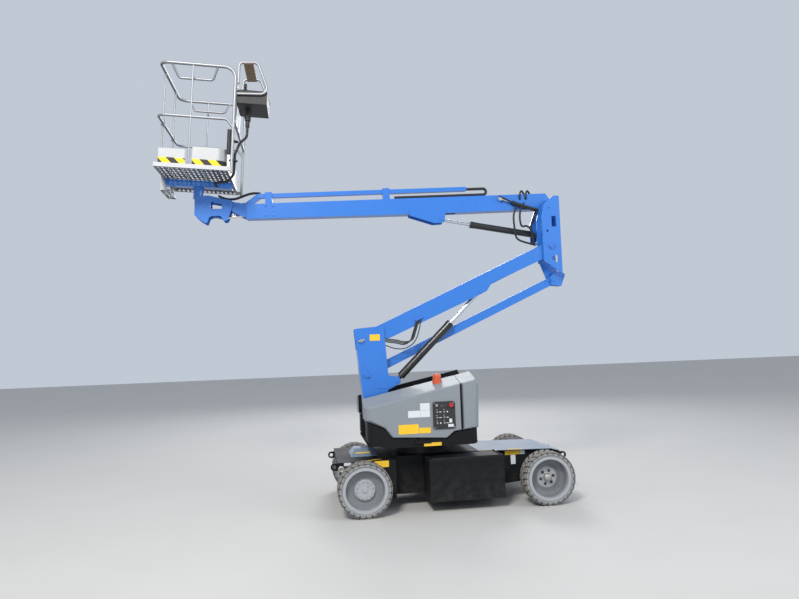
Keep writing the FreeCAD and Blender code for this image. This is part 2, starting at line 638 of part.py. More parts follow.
def tower():
    """Leaning tower of two plates with webs, the link lugs and the cylinder lug."""
    lean = [(-221, 1932, 18), (105, 1956, 18), (141, 1405, 20), (255, 1388, 34), (290, 1318, 30),
            (215, 1288, 16), (130, 1250), (130, S.base_top + 0.3), (-100, S.base_top + 0.3),
            (-139, 1064)]
    outer = [(-221, 1932, 18), (105, 1956, 18), (141, 1300, 30), (130, 1198),
             (130, S.base_top + 0.3), (-100, S.base_top + 0.3), (-139, 1064)]
    pins = [(A[0], A[1], S.pin_radius), (D[0], D[1], S.pin_radius)]
    near = plate("tower_near_plate", lean, S.tower_near_y,
                 holes=[*pins, (S.lower_base_x, S.lower_base_z, 16)])
    far = plate("tower_far_plate", outer, S.tower_far_y, holes=pins)
    low_y, high_y = S.tower_near_y + S.plate, S.tower_far_y
    front_web = slab([(-100, S.base_top + 0.3), (-100 + S.web, S.base_top + 0.3),
                      (-139 + S.web, 1064), (-200 + S.web, 1700), (-200, 1700), (-139, 1064)],
                     low_y, high_y)
    back_web = box((122, low_y, S.base_top + 0.3), (130, high_y, 1190))
    lug_outline = [(150, 1270), (200, 1378, 30), (255, 1388, 34), (290, 1318, 30), (218, 1284, 10)]
    inner_y = -75
    lug = slab(lug_outline, inner_y, inner_y + 13)
    lug = lug.cut(across(S.lower_base_x, S.lower_base_z, -100, -40, 16))
    shelf = slab([(122, 1180), (130, 1180), (130, 1236), (224, 1282), (216, 1290), (122, 1244)],
                 low_y, inner_y + 13)
    pins_solid = []
    for x, z in (A, D):
        pins_solid.append(across(x, z, S.tower_near_y - 8, S.tower_far_y + S.plate + 8,
                                 S.pin_radius))
        pins_solid.append(across(x, z, S.tower_near_y - 14, S.tower_near_y, 30))
        pins_solid.append(across(x, z, S.tower_far_y + S.plate, S.tower_far_y + S.plate + 14, 30))
    base_pin = across(S.lower_base_x, S.lower_base_z, S.tower_near_y - 10, inner_y + 18, 16)
    webs = feature("tower_webs", joined([front_web, back_web, shelf, lug]))
    pin_set = feature("tower_pins", joined([*pins_solid, base_pin]))
    node("tower", fuse("tower", [near, far, webs, pin_set]))


def lower_boom():
    """Lower boom in its own frame: a channel open below over the cylinder, then a closed box."""
    wall, length = S.lower_wall, S.lower_length
    root, top, eye = 52, S.lower_top, S.lower_eye_u
    side = [(-root, 44, 30), (-root + 30, top, 20), (length + 10, top, 30), (length + 46, 20, 40),
            (length + 46, -30, 40), (length - 120, -92), (eye + 160, -76), (eye + 65, -132, 30),
            (eye - 110, -132), (300, -116), (60, -56, 40), (-root, -40, 38)]
    near = plate("lower_boom_near", side, S.lower_near_y, "Sizes.lower_wall",
                 place=LOWER_PLACE)
    far = plate("lower_boom_far", side, LOWER_FAR_Y - wall, "Sizes.lower_wall",
                place=LOWER_PLACE)
    low_y, high_y = S.lower_near_y + wall, LOWER_FAR_Y - wall
    top_plate = box((-10, low_y, top - 6), (length - 10, high_y, top))
    bottom = box((eye + 160, low_y, -84), (length - 110, high_y, -76))
    close = box((eye + 80, low_y, -84), (eye + 88, high_y, top - 6))
    floor = box((eye + 80, low_y, -84), (eye + 168, high_y, -76))
    bosses = [across(0, 0, S.lower_near_y - 14.5, LOWER_FAR_Y + 14.5, S.boss_radius - 2),
              across(length, 0, S.lower_near_y - 14.5, LOWER_FAR_Y + 14.5, S.boss_radius - 2)]
    head = [across(S.lower_eye_u, S.lower_eye_v, S.lower_near_y - 9, S.lower_near_y, 20),
            across(S.lower_eye_u, S.lower_eye_v, LOWER_FAR_Y, LOWER_FAR_Y + 9, 20)]
    inner = joined([top_plate, bottom, close, floor, *bosses])
    holes = [across(u, 0, -300, 100, S.pin_radius + S.pin_gap) for u in (0, length)]
    rest = feature("lower_boom_inner", joined([inner, *head]), LOWER_PLACE)
    whole = fuse("lower_boom_whole", [near, far, rest])
    bores = feature("lower_boom_bores", Part.makeCompound(holes), LOWER_PLACE)
    node("lower_boom", cut("lower_boom", whole, bores))


def lower_link():
    length, half = S.lower_length, S.link_depth / 2
    place = FreeCAD.Placement(V(D[0], 0, D[1]), FreeCAD.Rotation(V(0, 1, 0), -S.lower_angle))
    low_y, high_y = S.link_near_y, S.link_near_y + S.link_width
    bar = box((0, low_y, -half), (length, high_y, half))
    ends = [across(u, 0, low_y - 5, high_y + 5, half) for u in (0, length)]
    holes = [across(u, 0, low_y - 9, high_y + 9, S.pin_radius + S.pin_gap) for u in (0, length)]
    shape = joined([bar, *ends]).cut(Part.makeCompound(holes))
    node("lower_link", feature("lower_link", shape, place))


def cylinder(name, base, eye, y, radius, rod_radius, barrel, base_pin, eye_width, inside):
    """A cylinder between two points: barrel with its base eye, rod with its eye, from inside on."""
    run = V(eye[0] - base[0], 0, eye[1] - base[1])
    angle = math.degrees(math.atan2(run.z, run.x))
    place = FreeCAD.Placement(V(base[0], y, base[1]), FreeCAD.Rotation(V(0, 1, 0), -angle))
    half = eye_width / 2
    eye_radius = min(radius, 34)
    ring = across(0, 0, -half, half, eye_radius)
    neck = rod((0, 0, 0), (radius + 24, 0, 0), rod_radius)
    body = rod((radius + 22, 0, 0), (barrel, 0, 0), radius)
    bore = rod((radius + 40, 0, 0), (barrel + 1, 0, 0), rod_radius + 0.5)
    gland = rod((barrel - 46, 0, 0), (barrel, 0, 0), radius + 3)
    shell = joined([ring, neck, body, gland]).cut(bore)
    shell = shell.cut(across(0, 0, -half - 1, half + 1, base_pin + S.pin_gap))
    node(name + "_barrel", feature(name + "_barrel", shell, place))
    tip_radius = 25
    stem = rod((inside, 0, 0), (run.Length, 0, 0), rod_radius)
    tip = across(run.Length, 0, -half, half, tip_radius)
    stub = across(run.Length, 0, -half - 4, half + 4, 12)
    node(name + "_rod", feature(name + "_rod", joined([stem, tip, stub]), place))


def cylinders():
    eye = turned(S.lower_angle, S.lower_eye_u, S.lower_eye_v)
    cylinder("lower_cylinder", (S.lower_base_x, S.lower_base_z), (A[0] + eye[0], A[1] + eye[1]),
             S.lower_cyl_y, S.lower_cyl_radius, S.lower_rod_radius, S.lower_barrel, 16,
             S.eye_width, 470)
    run = turned(-S.upper_angle, -S.lug_u, S.lug_v)
    cylinder("upper_cylinder", (U[0] - S.upper_base_x, U[1] + S.upper_base_z),
             (U[0] + run[0], U[1] + run[1]), UPPER_MID_Y, S.upper_cyl_radius,
             S.upper_rod_radius, S.upper_barrel, 14, S.eye_width, 215)
    end = turned(-S.upper_angle, -S.master_rod_u, S.master_rod_v)
    cylinder("level_master", (U[0] - S.master_x, U[1] + S.master_z), (U[0] + end[0], U[1] + end[1]),
             S.master_y, S.master_radius, 10, 385, 10, 30, 110)


def riser():
    """Riser of three plates. Lower boom and link sit between the first two, the upper boom beyond."""
    near = about(B, [(41, 593, 10), (111, 593, 8), (113, -333, 16), (-106, -167, 12), (-108, 344, 12),
                     (-87, 481, 20)])
    tail = about(B, [(-88, -186), (-12, -383), (13, -451, 20), (136, -463, 24), (191, -324, 24),
                     (113, -266), (113, -26), (-106, -26)])
    lug = about(B, [(6, -350, 30), (13, -451, 20), (136, -463, 24), (191, -324, 24), (150, -296),
                    (60, -296, 30)])
    mid = about(B, [(-106, -186), (-106, 324, 12), (-60, 474, 20), (41, 593, 10), (111, 593, 8),
                    (113, -186)])
    far = about(B, [(-106, 74, 12), (-106, 314, 12), (-35, 504, 20), (41, 593, 10), (111, 593, 8),
                    (113, 74, 12)])
    base = (U[0] - S.upper_base_x, U[1] + S.upper_base_z)
    master = (U[0] - S.master_x, U[1] + S.master_z)
    window = about(B, [(7, 352, 8), (62, 352, 8), (62, 228, 8), (7, 228, 8)])
    notch = about(B, [(-24, -138, 12), (66, -96, 14), (66, -206, 14)])
    near_plate = plate("riser_near", near, S.tower_near_y, inner=[window, notch],
                       holes=[(B[0], B[1], S.pin_radius), (master[0], master[1], 10),
                              (base[0], base[1], 14)])
    lug_y = S.link_near_y - 25
    link_lug = plate("riser_link_lug", lug, lug_y, "Sizes.web",
                     holes=[(C[0], C[1], S.pin_radius)])
    far_tail = plate("riser_tail_far", tail, S.tower_far_y, holes=[(C[0], C[1], S.pin_radius),
                                                                    (B[0], B[1], S.pin_radius)])
    mid_plate = plate("riser_mid", mid, S.tower_far_y,
                      holes=[(B[0], B[1], S.pin_radius), (U[0], U[1], S.pin_radius),
                             (base[0], base[1], 14)])
    far_plate = plate("riser_outer", far, S.riser_far_y,
                      holes=[(U[0], U[1], S.pin_radius), (base[0], base[1], 14)])
    back = S.tower_far_y + S.plate
    tail_web = about(B, [(136, -463), (191, -324), (183, -321), (128, -460)])
    webs = [box((B[0] + 105, S.tower_near_y + S.plate, B[1] + 94), (B[0] + 113, S.tower_far_y,
                                                                     B[1] + 574)),
            box((B[0] + 105, back, B[1] + 94), (B[0] + 113, S.riser_far_y, B[1] + 424)),
            box((B[0] - 100, back, B[1] + 79), (B[0] + 113, S.riser_far_y, B[1] + 87)),
            slab(tail_web, lug_y, S.tower_far_y)]
    pins = [across(B[0], B[1], S.tower_near_y - 12, back + 12, S.pin_radius),
            across(B[0], B[1], S.tower_near_y - 12, S.tower_near_y, 36),
            across(C[0], C[1], lug_y - 5, back + 12, S.pin_radius),
            across(U[0], U[1], S.tower_far_y - 12, S.riser_far_y + S.plate + 12, S.pin_radius),
            across(U[0], U[1], S.riser_far_y + S.plate, S.riser_far_y + S.plate + 12, 32),
            across(base[0], base[1], S.tower_far_y - 8, S.riser_far_y + S.plate + 8, 14),
            across(master[0], master[1], S.tower_far_y, S.master_y + 19, 10)]
    web_item = feature("riser_webs", joined(webs))
    pin_item = feature("riser_pins", joined(pins))
    node("riser", fuse("riser", [near_plate, link_lug, far_tail, mid_plate, far_plate, web_item,
                                 pin_item]))


def upper_boom():
    """Upper boom tube in its own frame, its tip towards low X, with lugs, tube guides and pads."""
    wall, top = S.upper_wall, S.upper_top
    length, deep, shallow = S.upper_length, S.upper_deep, S.upper_shallow
    outer = [(0, top - 4), (-length, top), (-length, shallow), (-1480, deep), (0, deep)]
    inner = [(-120, top - wall - 4), (-length - 1, top - wall), (-length - 1, shallow + wall),
             (-1480, deep + wall), (-120, deep + wall)]

    near, far = S.upper_near_y, UPPER_FAR_Y
    shell = slab(outer, near, far)
    nose = slab([(0, deep), (60, -30, 20), (72, 10, 20), (0, top - 4)], near, far)
    shell = joined([shell, nose, across(0, 0, near, far, 62)])
    lug = [(-1681, -22), (-1681, -85, 10), (-S.lug_u - 84, -186, 14), (-S.lug_u + 36, -182, 24),
           (-S.lug_u + 62, -20)]
    lugs = [slab(lug, near - 10, near), slab(lug, far, far + 10)]
    slot = box((-S.lug_u - 50, near + 34, deep - 20), (-S.lug_u + 190, far - 34, deep + wall + 1))
    bosses = across(0, 0, near - 30, far + 24.5, 40)
    heads = [across(-S.lug_u, S.lug_v, near - 18, near - 10, 20),
             across(-S.lug_u, S.lug_v, far + 10, far + 18, 20)]
    master = across(-S.master_rod_u, S.master_rod_v, near - 6, near, 18)
    whole = joined([shell, *lugs, bosses, *heads, master])
    whole = whole.cut(slab(inner, near + wall, far - wall)).cut(slot)
    hub = across(0, 0, near - 30, far + 24.5, 40)
    whole = joined([whole, hub]).cut(across(0, 0, -50, 300, S.pin_radius + S.pin_gap))
    pads = []
    for low_z, high_z in ((shallow + wall - 0.5, shallow + wall + S.slide_gap + 1.7),
                          (top - wall - S.slide_gap + 0.3, top - wall + 0.5)):
        pads.append(box((-length + 4, UPPER_MID_Y - 40, low_z),
                        (-length + 70, UPPER_MID_Y + 40, high_z)))
    rise = S.carrier_rise
    guides = []
    for u in (-3300, -1940):
        block = box((u - 40, UPPER_MID_Y - 44, top - 2), (u + 40, UPPER_MID_Y + 44, rise + 62))
        guides.append(block.cut(box((u - 50, UPPER_MID_Y - 34, rise - 5),
                                    (u + 50, UPPER_MID_Y + 34, rise + 53))))
    whole = joined([whole, *pads, *guides])
    node("upper_boom", feature("upper_boom", whole, UPPER_PLACE))


def extension():
    """Inner boom tube with its raised nose, which carries the levelling bracket."""
    wall, gap, length = S.tube_wall, S.slide_gap, S.upper_length
    near = S.upper_near_y + S.upper_wall + gap
    far = UPPER_FAR_Y - S.upper_wall - gap
    top = S.upper_top - S.upper_wall - gap
    low = S.upper_shallow + S.upper_wall + gap + 2
    tube_solid = box((-length - 10, near, low), (-length + S.tube_inside, far, top))
    hollow = box((-length - 20, near + wall, low + wall),
                 (-length + S.tube_inside + 1, far - wall, top - wall))
    pin_u, pin_v = -S.level_pin_u, S.level_pin_v
    cheek = [(-length - 8, low), (-length - 8, top), (pin_u + 10, pin_v + 42, 20),
             (pin_u - 36, pin_v + 38, 34), (pin_u - 36, pin_v - 34, 30), (-length - 120, 20, 40)]
    cheeks = []
    for low_y in (near, far - wall):
        cheeks.append(slab(cheek, low_y, low_y + wall))
    boss = across(pin_u, pin_v, near, far, 30)
    shape = joined([tube_solid.cut(hollow), *cheeks, boss])
    shape = shape.cut(across(pin_u, pin_v, near - 5, far + 5, 16 + S.pin_gap))
    node("boom_extension", feature("boom_extension", shape, UPPER_PLACE))


def level_bracket():
    """Two side plates on the level pin, with the slewing post of the platform."""
    x, z = LEVEL_PIN.x, LEVEL_PIN.z
    side = [(x - 375, z + 100), (x - 381, z - 123, 14), (x - 320, z - 178, 10), (x - 251, z - 220, 14),
            (x - 222, z - 146), (x - 187, z - 131, 30), (x - 96, z - 132, 24), (x - 60, z - 190, 16),
            (x - 20, z - 180, 16), (x + 24, z - 60), (x + 42, z, 20), (x + 30, z + 46, 30),
            (x - 60, z + 60, 20), (x - 220, z + 100)]
    window = [(x - 199, z + 28, 6), (x - 80, z + 6, 6), (x - 81, z - 52, 6), (x - 200, z - 52, 6)]
    near_y = S.platform_y - S.bracket_half - 12
    far_y = S.platform_y + S.bracket_half
    lug_pin = (x - 50, z - 142)
    plates = [plate("level_plate_near", side, near_y, "12 mm", inner=[window],
                    holes=[(x, z, 16)]),
              plate("level_plate_far", side, far_y, "12 mm", inner=[window],
                    holes=[(x, z, 16)])]
    mid_low, mid_high = near_y + 12, far_y
    webs = [box((x - 375, mid_low, z - 110), (x - 367, mid_high, z + 92)),
            box((x - 375, mid_low, z - 118), (x - 215, mid_high, z - 110)),
            box((x - 375, mid_low, z + 92), (x - 225, mid_high, z + 100)),
            across(x, z, near_y - 8, far_y + 20, 16),
            across(lug_pin[0], lug_pin[1], S.platform_y - 32, S.platform_y - 26, 14),
            across(lug_pin[0], lug_pin[1], S.platform_y + 26, S.platform_y + 32, 14)]
    arm = [(x - 240, z - 118), (x - 240, z - 110), (x - 60, z - 118, 14), (x - 26, z - 130, 14),
           (x - 30, z - 164, 18), (x - 70, z - 164, 18), (x - 200, z - 122, 20)]
    webs += [slab(arm, S.platform_y - 26.3, S.platform_y - 18.3),
             slab(arm, S.platform_y + 18.3, S.platform_y + 26.3)]
    web_item = feature("level_webs", joined(webs))
    post = Part.makeCylinder(58, 128, V(0, 0, -200))
    post_item = feature("level_post", post, PLATFORM_PLACE)
    node("level_bracket", fuse("level_bracket", [*plates, web_item, post_item]))


def slave_rod():
    """Rod of the levelling cylinder, from inside the boom to the lug of the bracket."""
    eye = V(LEVEL_PIN.x - 50, UPPER_MID_Y, LEVEL_PIN.z - 142)
    place = FreeCAD.Placement(eye, FreeCAD.Rotation(V(0, 1, 0), S.upper_angle - 5.2))
    stem = rod((0, 0, 0), (330, 0, 0), 15)
    tip = across(0, 0, -18, 18, 24)
    node("level_slave_rod", feature("level_slave_rod", joined([stem, tip]), place))


def carrier():
    """Hose carrier above the upper boom: a sliding tube in two guides, and its folded chain."""
    y, rise = UPPER_MID_Y, S.carrier_rise
    tube_run = box((-3420, y - 30, rise), (-970, y + 30, rise + 48))
    arm = slab([(-3640, 140), (-3575, 119), (-3560, 133), (-3480, 133), (-3380, rise + 4),
                (-3380, rise + 47), (-3430, rise + 47), (-3560, 150)], y - 25, y + 25)
    foot = slab([(-3650, 142.8), (-3575, 117.9), (-3575, 126), (-3650, 151)], y - 59, y + 59)
    node("carrier_tube", feature("carrier_tube", joined([tube_run, arm, foot]), UPPER_PLACE))
    chain = tube([(-969.7, y, rise + 24), (-720, y, rise + 24, 36), (-720, y, rise - 48, 36),
                  (-1840, y, rise - 48)], 17, 36)
    node("carrier_chain", feature("carrier_chain", chain, UPPER_PLACE))


def floor():
    """Floor frame with its grip plate, on the beam that stands on the slewing post."""
    half_x, half_y, depth = S.platform_length / 2, S.platform_width / 2, S.floor_depth
    edge_x, edge_y = half_x - 29, half_y - 29
    frame = box((-half_x, -half_y, 0), (half_x, half_y, depth))
    frame = frame.cut(box((1 - edge_x, 1 - edge_y, -1), (edge_x - 1, edge_y - 1, depth + 1)))
    columns, rows = int(2 * edge_x / S.grip_pitch_x), int(2 * edge_y / S.grip_pitch_y)
    loops = [[(-edge_x, -edge_y), (edge_x, -edge_y), (edge_x, edge_y), (-edge_x, edge_y)]]
    for i in range(columns):
        for j in range(rows):
            x, y = (i + 0.5 - columns / 2) * S.grip_pitch_x, (j + 0.5 - rows / 2) * S.grip_pitch_y
            loops.append([(x - 11, y - 30), (x + 11, y - 30), (x + 11, y + 30), (x - 11, y + 30)])
    wires = [outline_wire(loop) for loop in loops]
    sheet_top = Part.makeFace(wires, "Part::FaceMakerBullseye").extrude(V(0, 0, 4))
    sheet_top.translate(V(0, 0, depth - 8))
    bars = [box((x - 4, -edge_y, 8), (x + 4, edge_y, depth - 7.5))
            for x in [k * S.grip_pitch_x for k in (-5, -2, 2, 5)]]
    node("platform_floor", feature("platform_floor", joined([frame, sheet_top, *bars]),
                                   PLATFORM_PLACE))
    beam = box((10 - half_x, -60, -70), (half_x - 10, 60, -0.3))
    beam = beam.cut(box((9 - half_x, -52, -62), (half_x - 9, 52, -8)))
    turret = rod((0, 0, -71.7), (0, 0, -60), 64)
    node("platform_beam", feature("platform_beam", joined([beam, turret]), PLATFORM_PLACE))


def rail_places():
    """Middle lines of the rails: back, front and side, in the platform's frame."""
    back = S.platform_length / 2 + S.post_gap + S.rail_radius + 0.3
    return back, S.post_radius - S.platform_length / 2, S.platform_width / 2 - S.rail_radius


def rails():
    """Guard rails with hand loops, the sliding entry bar and the toe boards."""
    half_x, half_y, depth = S.platform_length / 2, S.platform_width / 2, S.floor_depth
    back, front, side_y = rail_places()
    top, mid, radius = S.rail_height, S.mid_height, S.rail_radius
    middle = -28
    pieces = []
    for sign in (-1, 1):
        y, inner_y = sign * side_y, sign * (side_y - 60)
        pieces += [tube([(back, y, -18), (back, y, top, S.rail_bend), (0, y, top)], radius, 60),
                   tube([(back, y, mid - 90, 60), (back - 70, y, mid, 60), (0, y, mid)],
                        radius - 3, 60),
                   tube([(0, y, mid), (front, y, mid), (front, sign * 302.5, mid)], radius - 3, 80),
                   rod((middle, y, depth + 0.3), (middle, y, top), S.post_radius),
                   rod((front, sign * 280, depth + 0.3), (front, sign * 280, top), S.post_radius),
                   tube([(-250, y, top), (-180, inner_y, top - 137), (175, inner_y, top - 137),
                         (230, y, top)], 13, 50),
                   box((half_x + 0.3, y - 14, 6), (back, y + 14, 40))]
    pieces.append(tube([(0, -side_y, top), (front, -side_y, top), (front, side_y, top),
                        (0, side_y, top)], radius, 90))
    pieces += [rod((back, -side_y, z), (back, side_y, z), radius - 3) for z in (mid, top - 150)]
    pieces += [box((back + 8, y - 14, mid - 10), (back + radius, y + 14, top - 140))
               for y in (-480, -300, guard_lines()[1])]
    node("guard_rails", feature("guard_rails", joined(pieces), PLATFORM_PLACE))
    bar = rod((front, -291, mid), (front, 291, mid), radius - 3)
    collars = [rod((front, y, mid - 26), (front, y, mid + 26), 22) for y in (-280, 280)]
    holes = [rod((front, y, mid - 40), (front, y, mid + 40), S.post_radius + 0.3)
             for y in (-280, 280)]
    gate = joined([bar, *collars]).cut(Part.makeCompound(holes))
    node("entry_bar", feature("entry_bar", gate, PLATFORM_PLACE))
    low, high, thick = depth + 0.3, depth + S.toe_height, S.toe_sheet
    wide, end, corner = half_y - 1.5, half_x - S.post_gap, S.toe_corner
    start, inner_x, inner_y, inner_bend = middle + 37, end - thick, wide - thick, corner - thick
    bent = [(start, -wide), (end, -wide, corner), (end, wide, corner), (start, wide),
            (start, inner_y), (inner_x, inner_y, inner_bend), (inner_x, -inner_y, inner_bend),
            (start, -inner_y)]
    sheet_back = Part.Face(outline_wire(bent)).extrude(V(0, 0, high - low))
    sheet_back.translate(V(0, 0, low))
    toes = [sheet_back]
    for y in (-wide, wide - thick):
        toes.append(box((S.toe_inset - half_x, y, low), (middle - 37, y + thick, high - 35)))
    node("toe_boards", feature("toe_boards", Part.makeCompound(toes), PLATFORM_PLACE))


def step():
    """Step that hangs below the entry."""
    half, edge, top = S.step_width / 2, 4 - S.platform_length / 2, -S.step_drop
    tread = box((edge, -half, top - 20), (edge + 90, half, top))
    tread = tread.cut(box((edge + 10, 16 - half, top - 21), (edge + 80, half - 16, top + 1)))
    slats = [box((edge + x, 15 - half, top - 17), (edge + x + 8, half - 15, top - 3)) for x in (27, 54)]
    arms = [slab([(edge + 6, -0.3), (edge + 24, -0.3), (edge + 76, top - 2), (edge + 8, top - 2)], y, y + 8)
            for y in (-half, half - 8)]
    node("entry_step", feature("entry_step", joined([tread, *slats, *arms]), PLATFORM_PLACE))


def guard_lines():
    """The near and the far hoop's middle lines in Y, with the control box between them."""
    near = S.rail_radius - S.platform_width / 2
    return near, near + S.box_width + 2 * S.guard_radius + 0.6


def platform_controls():
    """Control box behind the back rail between two hoops with a lid, its plug, cable and manual."""
    back = rail_places()[0]
    near, far = guard_lines()
    seat, top = back + S.rail_radius + 0.3, S.control_top
    low_y, high_y = near + S.guard_radius + 0.3, far - S.guard_radius - 0.3
    bottom = top - S.control_height
    body = box((seat, low_y, bottom), (seat + S.box_length, high_y, top))
    body = body.makeChamfer(14, [e for e in body.Edges if e.CenterOfMass.z > top - 1])
    body = body.cut(box((seat + 5, low_y + 5, bottom + 5),
                        (seat + S.box_length - 5, high_y - 5, top - 19)))
    stick_x, stick_y, plug_x, plug_y = seat + 76, low_y + 120, seat + 110, low_y + 190
    stick = [rod((stick_x, stick_y, top - 1), (stick_x, stick_y, top + 18), 26),
             rod((stick_x, stick_y, top + 17), (stick_x, stick_y, top + 80), 8),
             rod((stick_x, stick_y, top + 60), (stick_x, stick_y, top + 106), 15)]
    plug = [rod((plug_x, plug_y, bottom - 130), (plug_x, plug_y, bottom + 1), 32),
            rod((plug_x, plug_y, bottom - 200), (plug_x, plug_y, bottom - 129), 22)]
    manual = rod((back - 38, near + 8, 185), (back - 38, near + 8, 450), 21.5)
    manual = manual.cut(rod((back - 38, near + 8, 190), (back - 38, near + 8, 460), 19))
    node("control_box", feature("control_box", Part.makeCompound(
        [joined([body, *stick, *plug]), manual]), PLATFORM_PLACE))
    top_line = (seat + 208, S.control_top + 301)
    end_x = seat + S.guard_radius
    hoops = [tube([(seat + 1, y, 846), (seat + 344, y, 866, 70), (top_line[0], y, top_line[1], 60),
                   (end_x, y, top_line[1] - 16, 45), (end_x, y, 960)], S.guard_radius, 50)
             for y in (near, far)]
    node("control_guard", feature("control_guard", Part.makeCompound(hoops), PLATFORM_PLACE))
    rise = 16 / (top_line[0] - end_x)
    lid_x = (seat + 60, seat + 165)
    under = [top_line[1] + rise * (x - top_line[0]) - S.guard_radius - 0.4 for x in lid_x]
    lid = slab([(lid_x[0], under[0]), (lid_x[1], under[1]), (lid_x[1], under[1] - 5),
                (lid_x[0], under[0] - 5)], near - 14, far + 14)
    node("control_lid", feature("control_lid", lid, PLATFORM_PLACE))
    drop = bottom - 200.3
    cable = tube([(plug_x, plug_y, drop), (plug_x, plug_y, drop - 110, 90), (seat + 50, -500, 330, 90),
                  (seat + 8, -520, 200, 120), (seat + 6, -522, -20, 60), (seat - 60, -450, -85, 50),
                  (200, -200, -50, 60), (200, -60.3, -50)], S.cable_radius, 60)
    node("platform_cable", feature("platform_cable", cable, PLATFORM_PLACE))


def build():
    for end in ("drive", "steer"):
        for side in (-1, 1):
            wheel(end, side)
    steering()
    chassis()
    drive_motors()
    decks()
    battery_boxes()
    tie_downs()
    turntable()
    covers()
    counterweight()
    beacon()
    controls()
    tower()
    lower_boom()
    lower_link()
    cylinders()
    riser()
    upper_boom()
    extension()
    level_bracket()
    slave_rod()
    carrier()
    floor()
    rails()
    step()
    platform_controls()


build()
doc.recompute()

faults = [item.Name for item in doc.Objects if {"Invalid", "Error"} & set(item.State)]
faults += [label for label, item in NODES.items()
           if item.Shape.isNull() or not item.Shape.isValid() or not item.Shape.Solids]
if faults:
    raise RuntimeError("failed: " + ", ".join(faults))
os.makedirs("parts", exist_ok=True)
for label, item in NODES.items():
    item.Shape.exportStep(f"parts/{label}.step")
    bounds = item.Shape.BoundBox
    print(f"{label}: {len(item.Shape.Solids)} solids, {item.Shape.Volume / 1e9:.5f} m3, "
          f"x {bounds.XMin:.0f} {bounds.XMax:.0f}, y {bounds.YMin:.0f} {bounds.YMax:.0f}, "
          f"z {bounds.ZMin:.0f} {bounds.ZMax:.0f}")
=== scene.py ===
# %% [markdown]
# # An articulating boom lift, seen from the yard
#
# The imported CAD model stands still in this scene. The script loads it as a frame, gives every piece its
# paint, rubber or plastic, and adds what the CAD model leaves out: hoses, bolts, labels and controls.

# %%
import json
import math

import bmesh
import bpy
from mathutils import Matrix, Vector


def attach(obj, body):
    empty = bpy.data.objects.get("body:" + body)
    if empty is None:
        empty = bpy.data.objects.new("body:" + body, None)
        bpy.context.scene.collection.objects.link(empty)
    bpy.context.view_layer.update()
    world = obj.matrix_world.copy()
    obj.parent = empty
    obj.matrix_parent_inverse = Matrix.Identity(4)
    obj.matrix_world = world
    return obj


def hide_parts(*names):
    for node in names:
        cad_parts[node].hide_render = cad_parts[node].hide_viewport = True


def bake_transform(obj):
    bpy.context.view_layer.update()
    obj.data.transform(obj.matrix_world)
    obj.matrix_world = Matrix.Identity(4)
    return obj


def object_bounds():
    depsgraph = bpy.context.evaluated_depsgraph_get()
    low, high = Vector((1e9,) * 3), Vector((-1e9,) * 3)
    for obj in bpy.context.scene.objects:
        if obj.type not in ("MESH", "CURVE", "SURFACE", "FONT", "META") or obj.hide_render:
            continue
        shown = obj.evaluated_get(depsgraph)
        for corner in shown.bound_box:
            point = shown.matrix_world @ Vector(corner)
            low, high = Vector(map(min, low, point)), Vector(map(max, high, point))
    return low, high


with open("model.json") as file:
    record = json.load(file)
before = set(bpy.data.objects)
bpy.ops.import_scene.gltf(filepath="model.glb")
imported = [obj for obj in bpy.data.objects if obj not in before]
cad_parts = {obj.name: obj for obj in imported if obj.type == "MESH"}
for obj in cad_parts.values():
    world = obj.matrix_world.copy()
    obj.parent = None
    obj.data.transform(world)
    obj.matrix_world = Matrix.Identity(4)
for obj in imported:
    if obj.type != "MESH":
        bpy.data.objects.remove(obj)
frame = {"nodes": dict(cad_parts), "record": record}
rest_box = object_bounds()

nodes = frame["nodes"]

# %% [markdown]
# ## Measures
#
# All places are in the frame's own axes, in metres: x runs along the machine, y to the far side and z
# up. A pin is given by its x and z. A point on the platform is given in the platform's own frame.

# %%
LOWER_ANGLE = math.radians(24.4)
PLATFORM_TILT = math.radians(3.7)
PLATFORM = Vector((-1.909, 0.140, 3.665))
PLATFORM_ALONG = Vector((math.cos(PLATFORM_TILT), 0, -math.sin(PLATFORM_TILT)))
PLATFORM_UP = Vector((math.sin(PLATFORM_TILT), 0, math.cos(PLATFORM_TILT)))
TOWER_TOP_PIN, TOWER_FOOT_PIN = (-0.148, 1.800), (-0.102, 1.413)
RISER_BOOM_PIN, RISER_LINK_PIN, RISER_TOP_PIN = (2.1141, 2.8261), (2.1601, 2.4391), (2.1671, 3.3861)
DRIVE_X, STEER_X = -0.200, 1.750
BASE_MIDDLE, BASE_HALF = (DRIVE_X + STEER_X) / 2, (STEER_X - DRIVE_X) / 2
WHEEL_Y, AXLE_Z = 0.661, 0.2795
ALONG, ACROSS, UP, NEAR = (1, 0, 0), (0, 1, 0), (0, 0, 1), (0, -1, 0)

# The y of the near side's faces that carry plates and controls.
COVER_FACE, PANEL_FACE = -0.600, -0.614
DRIVE_FACE, STEER_FACE, TOWER_FACE = -0.500, -0.300, -0.195


def on_platform(x, y, z):
    """A point in the platform's own frame, which leans a little towards the boom."""
    return PLATFORM + PLATFORM_ALONG * x + Vector((0, y, 0)) + PLATFORM_UP * z


# %% [markdown]
# ## Camera
#
# The photo was taken from the near side at about eye height, with the camera slightly rolled. These
# numbers come from fitting the wheels and pins to the picture.

# %%
EYE = Vector((-0.7661, -7.4904, 1.7783))
YAW, PITCH, ROLL = 0.1443, 0.0632, 0.0349
FOCAL = 29.69

ahead = Vector((math.sin(YAW) * math.cos(PITCH), math.cos(YAW) * math.cos(PITCH), math.sin(PITCH)))
level_right = Vector((math.cos(YAW), -math.sin(YAW), 0))
level_up = level_right.cross(ahead)
right = math.cos(ROLL) * level_right - math.sin(ROLL) * level_up
up = math.sin(ROLL) * level_right + math.cos(ROLL) * level_up

